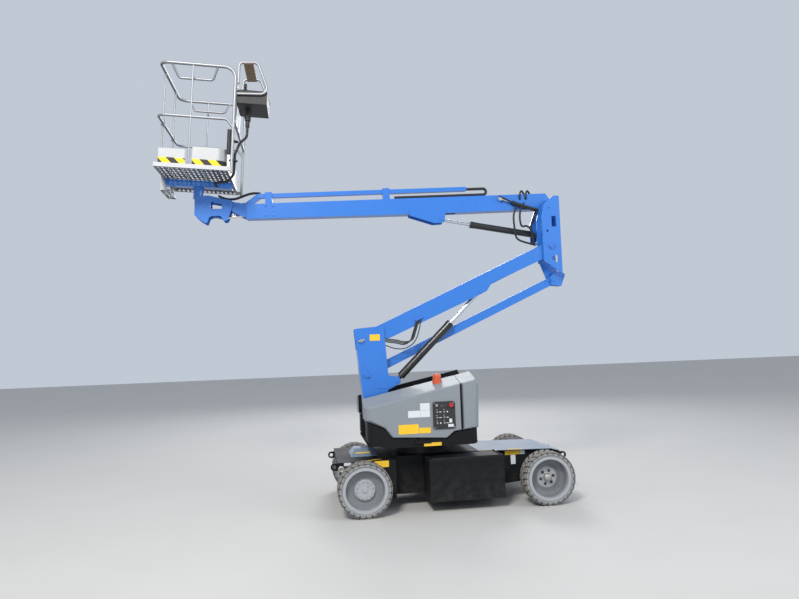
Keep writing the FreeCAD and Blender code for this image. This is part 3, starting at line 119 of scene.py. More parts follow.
lens = bpy.data.cameras.new("camera")
lens.sensor_width = 36
lens.lens = FOCAL
lens.clip_end = 200
camera = bpy.data.objects.new("camera", lens)
camera.matrix_world = Matrix.Translation(EYE) @ Matrix((right, up, -ahead)).transposed().to_4x4()
bpy.context.scene.collection.objects.link(camera)
bpy.context.scene.camera = camera

# %% [markdown]
# ## Shader values as plain sums
#
# A small class wraps one socket of a node tree, so that `a * b + c` builds the maths nodes. Every
# material reads Object coordinates, which are metres in the frame, so wear has its real size.

# %%


class Value:
    """One number of a shader, with the usual operators."""

    def __init__(self, tree, socket):
        self.tree, self.socket = tree, socket

    def maths(self, operation, *others):
        step = self.tree.nodes.new("ShaderNodeMath")
        step.operation = operation
        for slot, item in enumerate((self, *others)):
            if isinstance(item, Value):
                self.tree.links.new(item.socket, step.inputs[slot])
            else:
                step.inputs[slot].default_value = item
        return Value(self.tree, step.outputs[0])

    def __add__(self, other):
        return self.maths("ADD", other)

    def __sub__(self, other):
        return self.maths("SUBTRACT", other)

    def __mul__(self, other):
        return self.maths("MULTIPLY", other)

    def fraction(self):
        return self.maths("FRACT")

    def above(self, limit):
        return self.maths("GREATER_THAN", limit)

    def ramp(self, low, high):
        """0 up to low, 1 from high on, straight between. Low may be the larger one of the two."""
        step = self.tree.nodes.new("ShaderNodeMapRange")
        self.tree.links.new(self.socket, step.inputs["Value"])
        step.inputs["From Min"].default_value = low
        step.inputs["From Max"].default_value = high
        return Value(self.tree, step.outputs["Result"])


class Paint:
    """A material under construction: one Principled shader and what feeds it."""

    def __init__(self, name, colour, rough, metal=0.0, coat=0.0):
        self.material = bpy.data.materials.new(name)
        self.material.use_nodes = True
        self.tree = self.material.node_tree
        self.shader = self.tree.nodes["Principled BSDF"]
        self.shader.inputs["Metallic"].default_value = metal
        self.shader.inputs["Coat Weight"].default_value = coat
        self.shader.inputs["Coat Roughness"].default_value = 0.08
        self.place = self.tree.nodes.new("ShaderNodeTexCoord").outputs["Object"]
        self.colour = self.solid(colour)
        self.rough = self.number(rough)
        self.height = None

    def number(self, amount):
        """A plain number as a value."""
        step = self.tree.nodes.new("ShaderNodeValue")
        step.outputs[0].default_value = amount
        return Value(self.tree, step.outputs[0])

    def solid(self, colour):
        """A plain colour as a socket."""
        step = self.tree.nodes.new("ShaderNodeRGB")
        step.outputs[0].default_value = (*colour, 1)
        return step.outputs[0]

    def normal(self):
        """The true direction that the surface faces."""
        return self.tree.nodes.new("ShaderNodeNewGeometry").outputs["Normal"]

    def rounded_normal(self, size):
        """The direction that the surface would face with its edges rounded by this size."""
        step = self.tree.nodes.new("ShaderNodeBevel")
        step.samples = 4
        step.inputs["Radius"].default_value = size
        return step.outputs[0]

    def letter(self, vector, name):
        """The X, Y or Z of a vector's socket."""
        step = self.tree.nodes.new("ShaderNodeSeparateXYZ")
        self.tree.links.new(vector, step.inputs[0])
        return Value(self.tree, step.outputs[name])

    def vector_maths(self, operation, first, second):
        """The node for one sum with vectors. The second one is a socket or a plain vector."""
        step = self.tree.nodes.new("ShaderNodeVectorMath")
        step.operation = operation
        self.tree.links.new(first, step.inputs[0])
        if isinstance(second, bpy.types.NodeSocket):
            self.tree.links.new(second, step.inputs[1])
        else:
            step.inputs[1].default_value = second
        return step

    def noise(self, size, detail=4.0, stretch=(1, 1, 1)):
        """Soft noise between 0 and 1 whose blobs are about size metres across."""
        stretched = self.tree.nodes.new("ShaderNodeMapping")
        stretched.inputs["Scale"].default_value = stretch
        self.tree.links.new(self.place, stretched.inputs["Vector"])
        step = self.tree.nodes.new("ShaderNodeTexNoise")
        step.inputs["Scale"].default_value = 1 / size
        step.inputs["Detail"].default_value = detail
        self.tree.links.new(stretched.outputs[0], step.inputs["Vector"])
        return Value(self.tree, step.outputs["Fac"])

    def axis(self, name):
        """The X, Y or Z of the place in metres."""
        return self.letter(self.place, name)

    def distance(self, towards, origin):
        """The distance in metres from a point, measured along a direction."""
        offset = self.vector_maths("SUBTRACT", self.place, origin).outputs[0]
        step = self.vector_maths("DOT_PRODUCT", offset, Vector(towards).normalized())
        return Value(self.tree, step.outputs["Value"])

    def wheel_radius(self):
        """The distance from the nearest axle line."""
        along = (self.axis("X") - BASE_MIDDLE).maths("ABSOLUTE") - BASE_HALF
        rise = self.axis("Z") - AXLE_Z
        return (along * along + rise * rise).maths("SQRT")

    def facing_up(self):
        """1 on level faces, 0 on upright ones, -1 on undersides."""
        return self.letter(self.normal(), "Z")

    def edge(self, size=0.006):
        """1 on sharp edges, 0 on flats: the rounded direction against the true one."""
        step = self.vector_maths("DOT_PRODUCT", self.rounded_normal(size), self.normal())
        return Value(self.tree, step.outputs["Value"]).ramp(0.985, 0.86)

    def blend(self, mask, colour):
        """Lays another colour over the present one where mask is 1."""
        step = self.tree.nodes.new("ShaderNodeMix")
        step.data_type = "RGBA"
        self.tree.links.new(mask.socket, step.inputs["Factor"])
        self.tree.links.new(self.colour, step.inputs["A"])
        step.inputs["B"].default_value = (*colour, 1)
        self.colour = step.outputs["Result"]
        return self

    def mottle(self, size, detail, limits, share, colour, where=None):
        """Lays another colour over the present one in blotches, if wanted only where a mask is 1."""
        blotches = self.noise(size, detail).ramp(*limits)
        if where:
            blotches = where * blotches
        return self.blend(blotches * share, colour)

    def uneven(self, size, detail, amount):
        """Lets the gloss vary from spot to spot."""
        self.rough = self.rough + self.noise(size, detail) * amount
        return self

    def bump(self, height, depth):
        """Gives the surface a relief of this depth from a value between 0 and 1."""
        self.height = (height, depth)
        return self

    def grain(self, size, detail, depth):
        """Gives the surface a fine grain of this depth."""
        return self.bump(self.noise(size, detail), depth)

    def done(self, edge=0.0):
        """Connects everything and gives the material, its edges shaded as if rounded by this size."""
        self.tree.links.new(self.colour, self.shader.inputs["Base Color"])
        self.tree.links.new(self.rough.socket, self.shader.inputs["Roughness"])
        normal = self.rounded_normal(edge) if edge else None
        if self.height:
            height, depth = self.height
            step = self.tree.nodes.new("ShaderNodeBump")
            step.inputs["Distance"].default_value = depth
            self.tree.links.new(height.socket, step.inputs["Height"])
            if normal:
                self.tree.links.new(normal, step.inputs["Normal"])
            normal = step.outputs[0]
        if normal:
            self.tree.links.new(normal, self.shader.inputs["Normal"])
        return self.material


# %% [markdown]
# ## Paint, rubber and plastic
#
# Every finish starts from one colour and gets what such a surface shows: dust that settles on level
# faces, dirt low on the machine, rubbed edges and a little unevenness in the gloss. The sizes of spots,
# edges and bumps are in metres.

# %%
DUST = (0.55, 0.52, 0.46)


def darker(colour, share):
    """The same hue with this share of its brightness."""
    return tuple(share * part for part in colour)


def painted(name, colour, rough=0.3, coat=0.6, dust=0.25, worn=0.35, bare=(0.35, 0.35, 0.36),
            orange_peel=0.0004, edge=0.003):
    """Gloss paint with faint streaks, rubbed edges and dust on its level faces."""
    paint = Paint(name, colour, rough, coat=coat)
    cloud = paint.noise(0.35)
    fine = paint.noise(0.012, 6)
    streaks = paint.noise(0.05, 5, (1, 1, 0.18))
    paint.blend(streaks.ramp(0.55, 0.85) * 0.18, darker(colour, 0.62))
    paint.blend(paint.edge() * fine.ramp(0.48, 0.66) * worn, bare)
    dusty = paint.facing_up().ramp(0.75, 1.0) * cloud.ramp(0.3, 0.75) * dust
    paint.blend(dusty, DUST)
    paint.rough = paint.rough + cloud * 0.10 + dusty * 0.45 + fine * 0.06
    return paint.grain(0.004, 2, orange_peel).done(edge)


BLUE = (0.022, 0.170, 0.600)
boom_blue = painted("boom_blue", BLUE, rough=0.24, coat=0.75, dust=0.12, worn=0.3)
cover_grey = painted("cover_grey", (0.225, 0.250, 0.275), rough=0.48, coat=0.08, dust=0.15, worn=0.12,
                     bare=(0.4, 0.43, 0.46), orange_peel=0.0006, edge=0.006)

black = Paint("chassis_black", (0.006, 0.0065, 0.008), 0.5)
black.shader.inputs["Specular IOR Level"].default_value = 0.22
road_dirt = black.axis("Z").ramp(0.5, 0.0) * black.noise(0.08, 6).ramp(0.35, 0.75) * 0.05
black.blend(road_dirt, DUST)
black.rough = black.rough + road_dirt * 0.4
black.mottle(0.01, 6, (0.5, 0.66), 0.3, (0.10, 0.10, 0.11), where=black.edge())
chassis_black = black.uneven(0.2, 4, 0.14).grain(0.003, 2, 0.0004).done(0.003)

deck_grey = painted("deck_grey", (0.15, 0.21, 0.29), rough=0.2, coat=0.7, dust=0.2, worn=0.3)
lid_brown = painted("lid_brown", (0.20, 0.115, 0.035), rough=0.4, coat=0.2, dust=0.2)
cylinder_black = painted("cylinder_black", (0.011, 0.011, 0.012), rough=0.34, coat=0.3, dust=0.08)

# The tread is brown with earth, and painted shade darkens the feet of the lugs.
rubber = Paint("tyre_rubber", (0.27, 0.275, 0.28), 0.82)
radius = rubber.wheel_radius()
knobbly = rubber.noise(0.004, 5)
rubber.mottle(0.06, 5, (0.42, 0.72), 0.4, (0.20, 0.205, 0.21))
rubber.blend(radius.ramp(0.258, 0.270) * 0.8, (0.20, 0.180, 0.155))
rubber.blend(radius.ramp(0.2725, 0.2690) * radius.ramp(0.262, 0.266), (0.07, 0.065, 0.06))
rubber.mottle(0.018, 6, (0.62, 0.78), 0.25, (0.36, 0.34, 0.31))
rubber.rough = rubber.rough + knobbly * 0.12
tyre_rubber = rubber.bump(knobbly, 0.0012).done(0.004)

# Painted shade darkens the recess between hub and rim all round.
rim = Paint("rim_grey", (0.36, 0.38, 0.40), 0.4, coat=0.25)
radius = rim.wheel_radius()
rim.blend(radius.ramp(0.106, 0.112) * radius.ramp(0.200, 0.194) * 0.55, (0.035, 0.038, 0.042))
rim.mottle(0.03, 6, (0.5, 0.75), 0.25, (0.26, 0.26, 0.25))
rim.mottle(0.008, 6, (0.45, 0.65), 0.4, (0.22, 0.20, 0.18), where=rim.edge())
rim_grey = rim.uneven(0.02, 4, 0.2).grain(0.005, 3, 0.0004).done(0.003)

chrome = Paint("rod_chrome", (0.72, 0.73, 0.75), 0.16, metal=0.9)
chrome.rough = chrome.rough + chrome.noise(0.01, 6, (0.15, 1, 1)) * 0.10
rod_chrome = chrome.done()

silver = Paint("rail_silver", (0.36, 0.37, 0.39), 0.40, metal=0.65)
silver.mottle(0.02, 6, (0.5, 0.8), 0.35, (0.24, 0.24, 0.24))
# Painted shade darkens the undersides of the rails.
silver.blend(silver.facing_up().ramp(-0.3, -0.9) * 0.6, (0.10, 0.10, 0.11))
rail_silver = silver.uneven(0.008, 5, 0.18).grain(0.003, 3, 0.0003).done(0.002)

hose = Paint("hose_black", (0.016, 0.016, 0.017), 0.5)
hose.mottle(0.03, 5, (0.45, 0.75), 0.4, (0.05, 0.05, 0.05))
hose_black = hose.uneven(0.01, 5, 0.2).grain(0.0012, 2, 0.0003).done()

RIB_PITCH = 0.006
lamp = Paint("beacon_orange", (0.62, 0.075, 0.015), 0.16, coat=0.8)
ribs = (lamp.axis("Z") * (1 / RIB_PITCH)).fraction().maths("PINGPONG", 0.5)
lamp.blend(ribs.ramp(0.32, 0.5) * 0.35, (0.95, 0.32, 0.08))
beacon_orange = lamp.uneven(0.01, 4, 0.08).bump(ribs, 0.0015).done(0.002)

plastic = Paint("control_grey", (0.022, 0.022, 0.024), 0.5)
plastic.mottle(0.1, 4, (0.35, 0.7), 0.25, DUST, where=plastic.facing_up().ramp(0.7, 1.0))
control_grey = plastic.uneven(0.02, 4, 0.15).grain(0.0016, 2, 0.0004).done(0.002)

case = Paint("battery_case", (0.02, 0.02, 0.022), 0.55)
battery_case = case.uneven(0.05, 4, 0.15).grain(0.002, 2, 0.0004).done(0.003)

# %% [markdown]
# The toe boards carry slanted yellow and black bars in a band on their lower half. The bars are a saw
# wave along the board, shifted with height, so they lean the same way on every side.

# %%
YELLOW = (0.86, 0.52, 0.015)
BAR_PITCH, BAR_LEAN = 0.17, 0.9
BAND_LOW, BAND_HIGH, BAND_EDGE = 0.045, 0.1035, 0.0005
DIAGONAL = 1.414

toe = Paint("toe_grey", (0.38, 0.39, 0.40), 0.42, metal=0.4)
slope = toe.distance((1, -1, 0), PLATFORM) * DIAGONAL
lift = toe.distance(PLATFORM_UP, PLATFORM)
bars = ((slope + lift * BAR_LEAN) * (1 / BAR_PITCH)).fraction().above(0.5)
band = lift.ramp(BAND_LOW, BAND_LOW + BAND_EDGE) * lift.ramp(BAND_HIGH, BAND_HIGH - BAND_EDGE)
toe.blend(band, YELLOW)
toe.blend(band * bars, (0.02, 0.02, 0.02))
toe.mottle(0.02, 6, (0.58, 0.8), 0.35, (0.33, 0.32, 0.30))
toe_grey = toe.uneven(0.01, 5, 0.2).grain(0.003, 3, 0.0003).done(0.002)

# %% [markdown]
# The labels are blank: plain yellow and white foil with rubbed edges and a little dirt. Small metal
# parts are zinc, and the slewing ring is greased steel.

# %%


def foil(name, colour, rough=0.35):
    """Thin coloured foil or plastic, a little dirty and rubbed at its edges."""
    sheet = Paint(name, colour, rough, coat=0.3)
    sheet.mottle(0.02, 6, (0.55, 0.8), 0.3, darker(colour, 0.6))
    sheet.mottle(0.004, 5, (0.4, 0.6), 0.5, (0.3, 0.29, 0.27), where=sheet.edge(0.002))
    return sheet.uneven(0.01, 4, 0.2).grain(0.006, 3, 0.0002).done()


label_yellow = foil("label_yellow", YELLOW)
label_white = foil("label_white", (0.66, 0.68, 0.70))
button_red = foil("button_red", (0.50, 0.014, 0.012), 0.25)
zinc = Paint("zinc", (0.42, 0.42, 0.40), 0.38, metal=0.7)
zinc.mottle(0.006, 5, (0.5, 0.75), 0.4, (0.22, 0.21, 0.19))
zinc_grey = zinc.uneven(0.004, 4, 0.2).grain(0.002, 2, 0.0002).done(0.001)

greased = Paint("greased_steel", (0.030, 0.029, 0.028), 0.42, metal=0.5)
greased.mottle(0.02, 6, (0.45, 0.75), 0.6, (0.012, 0.011, 0.010))
greased_steel = greased.uneven(0.01, 5, 0.25).grain(0.004, 3, 0.0004).done(0.002)

FINISH = {
    "tyre_rubber": tyre_rubber, "rim_grey": rim_grey, "boom_blue": boom_blue,
    "cover_grey": cover_grey, "chassis_black": chassis_black, "deck_grey": deck_grey,
    "cylinder_black": cylinder_black, "rod_chrome": rod_chrome, "rail_silver": rail_silver,
    "toe_grey": toe_grey, "beacon_orange": beacon_orange, "control_grey": control_grey,
    "lid_brown": lid_brown, "hose_black": hose_black, "battery_case": battery_case,
}
for part in frame["record"]["subparts"]:
    piece = nodes[part["node"]]
    piece.data.materials.clear()
    piece.data.materials.append(FINISH[part["material_slot"]])
nodes["slew_ring"].data.materials[0] = greased_steel

# %% [markdown]
# ## Modelling by hand
#
# Every new piece starts as a primitive and is shaped with edit mode operators. What repeats is modelled
# once, copied to its places and joined. A finished piece has its place in its mesh.

# %%


def deselect():
    bpy.ops.object.select_all(action="DESELECT")


def pick(*pieces):
    """Selects these pieces only and makes the first one active."""
    deselect()
    for piece in pieces:
        piece.select_set(True)
    bpy.context.view_layer.objects.active = pieces[0]


def settled(name):
    """Names the piece just added and moves its place and turn into its mesh."""
    piece = bpy.context.object
    piece.name = piece.data.name = name
    bpy.ops.object.transform_apply(location=True, rotation=True, scale=True)
    return piece


def choose(test):
    """In edit mode, selects the faces whose middle and normal pass the test."""
    bpy.ops.mesh.select_mode(type="FACE")
    bpy.ops.mesh.select_all(action="DESELECT")
    mesh = bmesh.from_edit_mesh(bpy.context.object.data)
    for face in mesh.faces:
        face.select_set(test(face.calc_center_median(), face.normal))
    mesh.select_flush_mode()
    bmesh.update_edit_mesh(bpy.context.object.data)


def looks_up(middle, normal):
    return normal.z > 0.9


def looks_near(middle, normal):
    return normal.y < -0.9


def face_outwards():
    """Turns every face of the piece in edit mode outwards and goes back to object mode."""
    bpy.ops.mesh.select_all(action="SELECT")
    bpy.ops.mesh.normals_make_consistent(inside=False)
    bpy.ops.object.mode_set(mode="OBJECT")


def inset(piece, test, thickness, depth):
    """Insets the faces that pass the test and lifts them, or sinks them where depth is negative."""
    pick(piece)
    bpy.ops.object.mode_set(mode="EDIT")
    choose(test)
    bpy.ops.mesh.inset(thickness=thickness, depth=depth)
    bpy.ops.object.mode_set(mode="OBJECT")
    return piece


def modified(piece, kind, **settings):
    """Adds a modifier with these settings and applies it."""
    pick(piece)
    step = piece.modifiers.new(kind.lower(), kind)
    for key, setting in settings.items():
        setattr(step, key, setting)
    bpy.ops.object.modifier_apply(modifier=step.name)
    return piece


def block(name, low, high, bevel=0.0, segments=2):
    """A box between two corners with softened edges."""
    low, high = Vector(low), Vector(high)
    deselect()
    bpy.ops.mesh.primitive_cube_add(size=1, location=(low + high) / 2)
    bpy.context.object.scale = high - low
    piece = settled(name)
    if bevel:
        modified(piece, "BEVEL", width=bevel, segments=segments, limit_method="ANGLE")
    return piece


def turned(name, profile, sides=24):
    """A round piece along +Z from (radius, height) rings, closed at both ends."""
    deselect()
    radius, height = profile[0]
    bpy.ops.mesh.primitive_circle_add(vertices=sides, radius=radius, fill_type="NGON",
                                      location=(0, 0, height))
    piece = settled(name)
    bpy.ops.object.mode_set(mode="EDIT")
    bpy.ops.mesh.select_mode(type="FACE")
    bpy.ops.mesh.select_all(action="SELECT")
    for wide, tall in profile[1:]:
        bpy.ops.mesh.extrude_region_move(TRANSFORM_OT_translate={"value": (0, 0, tall - height)})
        bpy.ops.transform.resize(value=(wide / radius, wide / radius, 1))
        radius, height = wide, tall
    face_outwards()
    return piece


def aimed(place, towards, turn=0.0):
    """The matrix that stands a piece made along +Z at a place, pointing towards a direction."""
    return (Matrix.Translation(Vector(place))
            @ Vector(towards).normalized().to_track_quat("Z", "Y").to_matrix().to_4x4()
            @ Matrix.Rotation(turn, 4, "Z"))


def moved(piece, matrix):
    """Moves a piece's mesh by a matrix."""
    piece.data.transform(matrix)
    piece.data.update()
    return piece


def joined(name, *pieces):
    """Makes one piece of several."""
    pick(*pieces)
    if len(pieces) > 1:
        bpy.ops.object.join()
    piece = bpy.context.object
    piece.name = piece.data.name = name
    return piece


def spread(model, name, places, keep=False):
    """Copies a model to each place, joins the copies and takes the model away."""
    copies = []
    for matrix in places:
        copy = model.copy()
        copy.data = model.data.copy()
        copy.data.transform(matrix)
        bpy.context.scene.collection.objects.link(copy)
        copies.append(copy)
    piece = joined(name, *copies)
    if not keep:
        bpy.data.objects.remove(model)
    return piece


def finished(piece, body, slot, material=None, smooth=38):
    """Gives a piece its finish and the body it moves with. Edges over smooth degrees stay sharp."""
    piece.data.materials.clear()
    piece.data.materials.append(material or FINISH[slot])
    pick(piece)
    bpy.ops.object.shade_smooth_by_angle(angle=math.radians(smooth))
    if body:
        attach(piece, body)
    return piece


def pipe(name, points, radius, body=None, slot="hose_black", material=None, steps=8):
    """A hose or bar along a smooth curve that starts and ends on its first and last point.

    A path keeps its first two points, and the others are extruded from its end one by one.
    """
    deselect()
    bpy.ops.curve.primitive_nurbs_path_add()
    route = bpy.context.object
    bpy.ops.object.mode_set(mode="EDIT")
    bpy.ops.curve.select_all(action="DESELECT")
    for mark in route.data.splines[0].points[2:]:
        mark.select = True
    bpy.ops.curve.delete(type="VERT")
    for mark, point in zip(route.data.splines[0].points, points):
        mark.co = (*point, 1)
    bpy.ops.curve.select_all(action="DESELECT")
    route.data.splines[0].points[-1].select = True
    for before, after in zip(points[1:], points[2:]):
        shift = Vector(after) - Vector(before)
        bpy.ops.curve.extrude_move(TRANSFORM_OT_translate={"value": shift})
    line = route.data.splines[0]
    line.order_u = 3
    line.use_endpoint_u = True
    line.resolution_u = steps
    route.data.bevel_depth = radius
    route.data.bevel_resolution = 3
    route.data.use_fill_caps = True
    bpy.ops.object.mode_set(mode="OBJECT")
    bpy.ops.object.convert(target="MESH")
    piece = bpy.context.object
    piece.name = piece.data.name = name
    return finished(piece, body, slot, material, smooth=60)


def hex_bolt(radius, height, washer=1.35):
    """A hexagon head on its washer, standing on z = 0."""
    ring = turned("washer", [(radius * washer, 0), (radius * washer, height * 0.18)], 20)
    deselect()
    bpy.ops.mesh.primitive_cylinder_add(vertices=6, radius=radius, depth=height * 0.82,
                                        location=(0, 0, height * 0.59))
    head = inset(settled("head"), looks_up, radius * 0.14, radius * 0.09)
    modified(head, "BEVEL", width=radius * 0.05, segments=1, limit_method="ANGLE")
    return joined("bolt", head, ring)


# %% [markdown]
# ## Tyres with their tread
#
# The solid tyres carry twenty-six slanted lugs on each side. One lug is shaped from a cube, copied
# round the tyre and joined with a turned casing. The finished tyre stands where the plain one was.

# %%
TYRE_R, TYRE_HALF, BEAD_R = 0.2795, 0.089, 0.2223
LUG_COUNT, LUG_DEEP = 26, 0.011
FLOOR_R = TYRE_R - LUG_DEEP
SHOULDER_R, SHOULDER_DEEP = FLOOR_R - 0.022, 0.012


def slot_face(middle):
    """True on the shoulder where a slot between two lugs runs out."""
    if abs(middle.z) < TYRE_HALF - SHOULDER_DEEP or not SHOULDER_R < middle.xy.length < FLOOR_R:
        return False
    pitches = math.atan2(middle.y, middle.x) / (2 * math.pi) * LUG_COUNT + (0 if middle.z > 0 else 0.5)
    return abs(pitches % 1 - 0.5) < 0.13


def casing_model():
    """The tyre without its lugs: a turned body whose two ends are bridged through the hole."""
    upper = [(FLOOR_R, TYRE_HALF - 0.010), (FLOOR_R - 0.006, TYRE_HALF - 0.002), (SHOULDER_R, TYRE_HALF),
             (BEAD_R + 0.014, TYRE_HALF - 0.006), (BEAD_R, TYRE_HALF - SHOULDER_DEEP)]
    lower = [(radius, -height) for radius, height in reversed(upper)]
    casing = turned("casing", lower + upper, 8 * LUG_COUNT)
    pick(casing)
    bpy.ops.object.mode_set(mode="EDIT")
    choose(lambda middle, normal: abs(normal.z) > 0.9 and middle.xy.length < 0.01)
    bpy.ops.mesh.delete(type="FACE")
    bpy.ops.mesh.select_mode(type="EDGE")
    bpy.ops.mesh.select_all(action="SELECT")
    bpy.ops.mesh.region_to_loop()
    bpy.ops.mesh.bridge_edge_loops()
    face_outwards()
    return inset(casing, lambda middle, normal: slot_face(middle), 0.0008, -SHOULDER_DEEP)


def lug_model():
    """A lug on the upper half of the tread. It slants and narrows towards the tyre's middle."""
    pitch = 2 * math.pi * TYRE_R / LUG_COUNT
    deselect()
    bpy.ops.mesh.primitive_cube_add(size=1, location=(FLOOR_R + LUG_DEEP / 2 - 0.002, 0, TYRE_HALF / 2))
    bpy.context.object.scale = (LUG_DEEP + 0.004, pitch * 0.82, TYRE_HALF - 0.006)
    lug = settled("lug")
    bpy.ops.object.mode_set(mode="EDIT")
    choose(lambda middle, normal: normal.z < -0.9)
    bpy.ops.transform.rotate(value=-0.9 * math.pi / LUG_COUNT, orient_axis="Z",
                             center_override=(0, 0, 0))
    bpy.ops.transform.resize(value=(1, 0.7, 1))
    choose(lambda middle, normal: normal.x > 0.9)
    bpy.ops.transform.resize(value=(1, 0.95, 0.97))
    choose(looks_up)
    bpy.ops.mesh.extrude_region_move(TRANSFORM_OT_translate={"value": (0, 0, 0.0035)})
    bpy.ops.transform.resize(value=(0.55, 0.9, 1))
    bpy.ops.transform.translate(value=(-LUG_DEEP * 0.25, 0, 0))
    bpy.ops.object.mode_set(mode="OBJECT")
    return modified(lug, "BEVEL", width=0.0016, segments=1, limit_method="ANGLE")


def tyre_model():
    """One tyre round the Z axis, its middle at the origin, with a row of lugs on each half."""
    casing = casing_model()
    spots = []
    for row, flip in ((0, 1), (0.5, -1)):
        for count in range(LUG_COUNT):
            spin = Matrix.Rotation(2 * math.pi * (count + row) / LUG_COUNT, 4, "Z")
            spots.append(spin @ Matrix.Diagonal((1, 1, flip, 1)))
    lugs = spread(lug_model(), "lugs", spots)
    pick(lugs)
    bpy.ops.object.mode_set(mode="EDIT")
    face_outwards()
    return joined("tyre", casing, lugs)


WHEELS = [(end, side, x, sign * WHEEL_Y, sign)
          for end, x in (("drive", DRIVE_X), ("steer", STEER_X))
          for side, sign in (("near", -1), ("far", 1))]
model = tyre_model()
for end, side, x, y, sign in WHEELS:
    name = f"{end}_{side}"
    tyre = spread(model, "tread_" + name, [aimed((x, y, AXLE_Z), (0, sign, 0), 0.04 * x)], keep=True)
    finished(tyre, "wheel_" + name, "tyre_rubber", smooth=32)
    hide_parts("tyre_" + name)
bpy.data.objects.remove(model)

# %% [markdown]
# ## Hub bolts and nuts
#
# The drive hubs have a ring of bolts and a centre cap with a plug. The steered ones have a ring of dark
# wheel nuts round a bright grease cap.

# %%
HUBS = {
    # how far the face stands out, radius of the ring, how many bolts or nuts, their size and finish
    "drive": (0.034, 0.084, 12, 0.0085, rim_grey),
    "steer": (-0.018, 0.071, 6, 0.0115, cylinder_black),
}
for end, side, x, y, sign in WHEELS:
    name = f"{end}_{side}"
    stand, ring, count, size, finish = HUBS[end]
    outward = Vector((0, sign, 0))
    face = Vector((x, y, AXLE_Z)) + outward * stand
    places = []
    for step in range(count):
        turn = 2 * math.pi * step / count + 0.2
        around = Vector((math.cos(turn), 0, math.sin(turn))) * ring
        places.append(aimed(face + around, outward, turn))
    bolts = spread(hex_bolt(size, size * 1.1), "nuts_" + name, places)
    finished(bolts, "wheel_" + name, "rim_grey", finish)
    if end == "steer":
        cap = turned("grease_cap_" + name, [(0.0435, 0.0050), (0.0394, 0.0345), (0.0340, 0.0400),
                                            (0.0192, 0.0470), (0.0060, 0.0492)], 40)
        moved(cap, aimed(face, outward))
        finished(cap, "wheel_" + name, "rim_grey", zinc_grey)
    else:
        cap = turned("cap", [(0.030, 0), (0.030, 0.004), (0.025, 0.009), (0.012, 0.010),
                             (0.011, 0.008)], 32)
        plug = moved(hex_bolt(0.008, 0.007), Matrix.Translation((0.048, 0, 0)))
        cap = joined("cap_" + name, cap, plug)
        moved(cap, aimed(face, outward, 0.9))
        finished(cap, "wheel_" + name, "rim_grey")

# %% [markdown]
# ## Blank labels and plates
#
# A label is a plane with rounded corners, extruded to the thickness of foil or sheet. It is stood up
# with one matrix whose columns are its own width, height and outward directions.

# %%
FOIL_GAP = 0.0003


def plate(name, middle, across, upward, width, height, thick=0.0012, corner=0.006):
    """A flat plate with rounded corners whose back lies on its middle point."""
    deselect()
    bpy.ops.mesh.primitive_plane_add(size=1)
    bpy.context.object.scale = (width, height, 1)
    piece = settled(name)
    bpy.ops.object.mode_set(mode="EDIT")
    bpy.ops.mesh.select_all(action="SELECT")
    bpy.ops.mesh.bevel(offset=corner, segments=4, affect="VERTICES")
    bpy.ops.mesh.select_all(action="SELECT")
    bpy.ops.mesh.extrude_region_move(TRANSFORM_OT_translate={"value": (0, 0, thick)})
    face_outwards()
    across = Vector(across).normalized()
    outward = across.cross(Vector(upward)).normalized()
    stand = Matrix((across, outward.cross(across), outward)).transposed().to_4x4()
    return moved(piece, Matrix.Translation(Vector(middle)) @ stand)


LABELS = (
    # body, slot, face, and for each label its name, foil, low x, high x, low z, high z and corner
    ("near_cover", "cover_grey", COVER_FACE, (
        ("label_cover_top", label_white, 0.413, 0.517, 1.046, 1.118, 0.004),
        ("label_cover_side", label_white, 0.283, 0.411, 0.973, 1.044, 0.004),
        ("label_cover_low", label_white, 0.413, 0.517, 0.973, 1.044, 0.004),
        ("label_warn_left", label_yellow, 0.178, 0.392, 0.806, 0.904, 0.008),
        ("label_warn_right", label_yellow, 0.396, 0.520, 0.806, 0.864, 0.008),
    )),
    ("chassis", "chassis_black", DRIVE_FACE, (
        ("label_drive", label_yellow, -0.073, 0.076, 0.462, 0.529, 0.004),
        ("label_drive_end", label_white, -0.396, -0.322, 0.498, 0.529, 0.003),
    )),
    ("turntable", "boom_blue", TOWER_FACE, (
        ("label_tower", label_yellow, -0.055, 0.058, 1.794, 1.864, 0.004),
    )),
    ("chassis", "chassis_black", STEER_FACE, (
        ("label_steer", label_yellow, 1.401, 1.571, 0.475, 0.523, 0.004),
        ("label_steer_end", label_white, 1.573, 1.631, 0.475, 0.523, 0.004),
        ("label_steer_leg", label_white, 1.4665, 1.5215, 0.371, 0.473, 0.004),
    )),
)
for body, slot, face, rows in LABELS:
    for name, material, low_x, high_x, low_z, high_z, corner in rows:
        middle = ((low_x + high_x) / 2, face - FOIL_GAP, (low_z + high_z) / 2)
        label = plate(name, middle, ALONG, UP, high_x - low_x, high_z - low_z, corner=corner)
        finished(label, body, slot, material)

STRIPS = (
    # name, slot, middle, direction of the length, direction of the width, length, width
    ("strip_box", "deck_grey", (1.185, -0.362, 0.5463), ALONG, ACROSS, 0.200, 0.030),
    ("strip_deck", "deck_grey", (1.505, -0.337, 0.5410), (1, 0, -0.023), ACROSS, 0.170, 0.030),
    ("strip_hatch", "deck_grey", (-0.165, -0.1513, 0.5675), ALONG, (0, 0.823, 0.568), 0.164, 0.018),
    ("strip_body", "chassis_black", (-0.085, -0.445, 0.5333), (0.40, 0.16, 0), (-0.16, 0.40, 0),
     0.20, 0.035),
)
for name, slot, middle, along, across, length, width in STRIPS:
    strip = plate(name, middle, along, across, length, width)
    finished(strip, "chassis", slot, label_yellow)

# %% [markdown]
# ## The latch handle and the ground control panel
#
# The near side carries the yellow handle of the cover's latch and a socket for charging. The panel has
# a red push button, a dark window, a key switch and three rows of toggles, each beside blank marks.

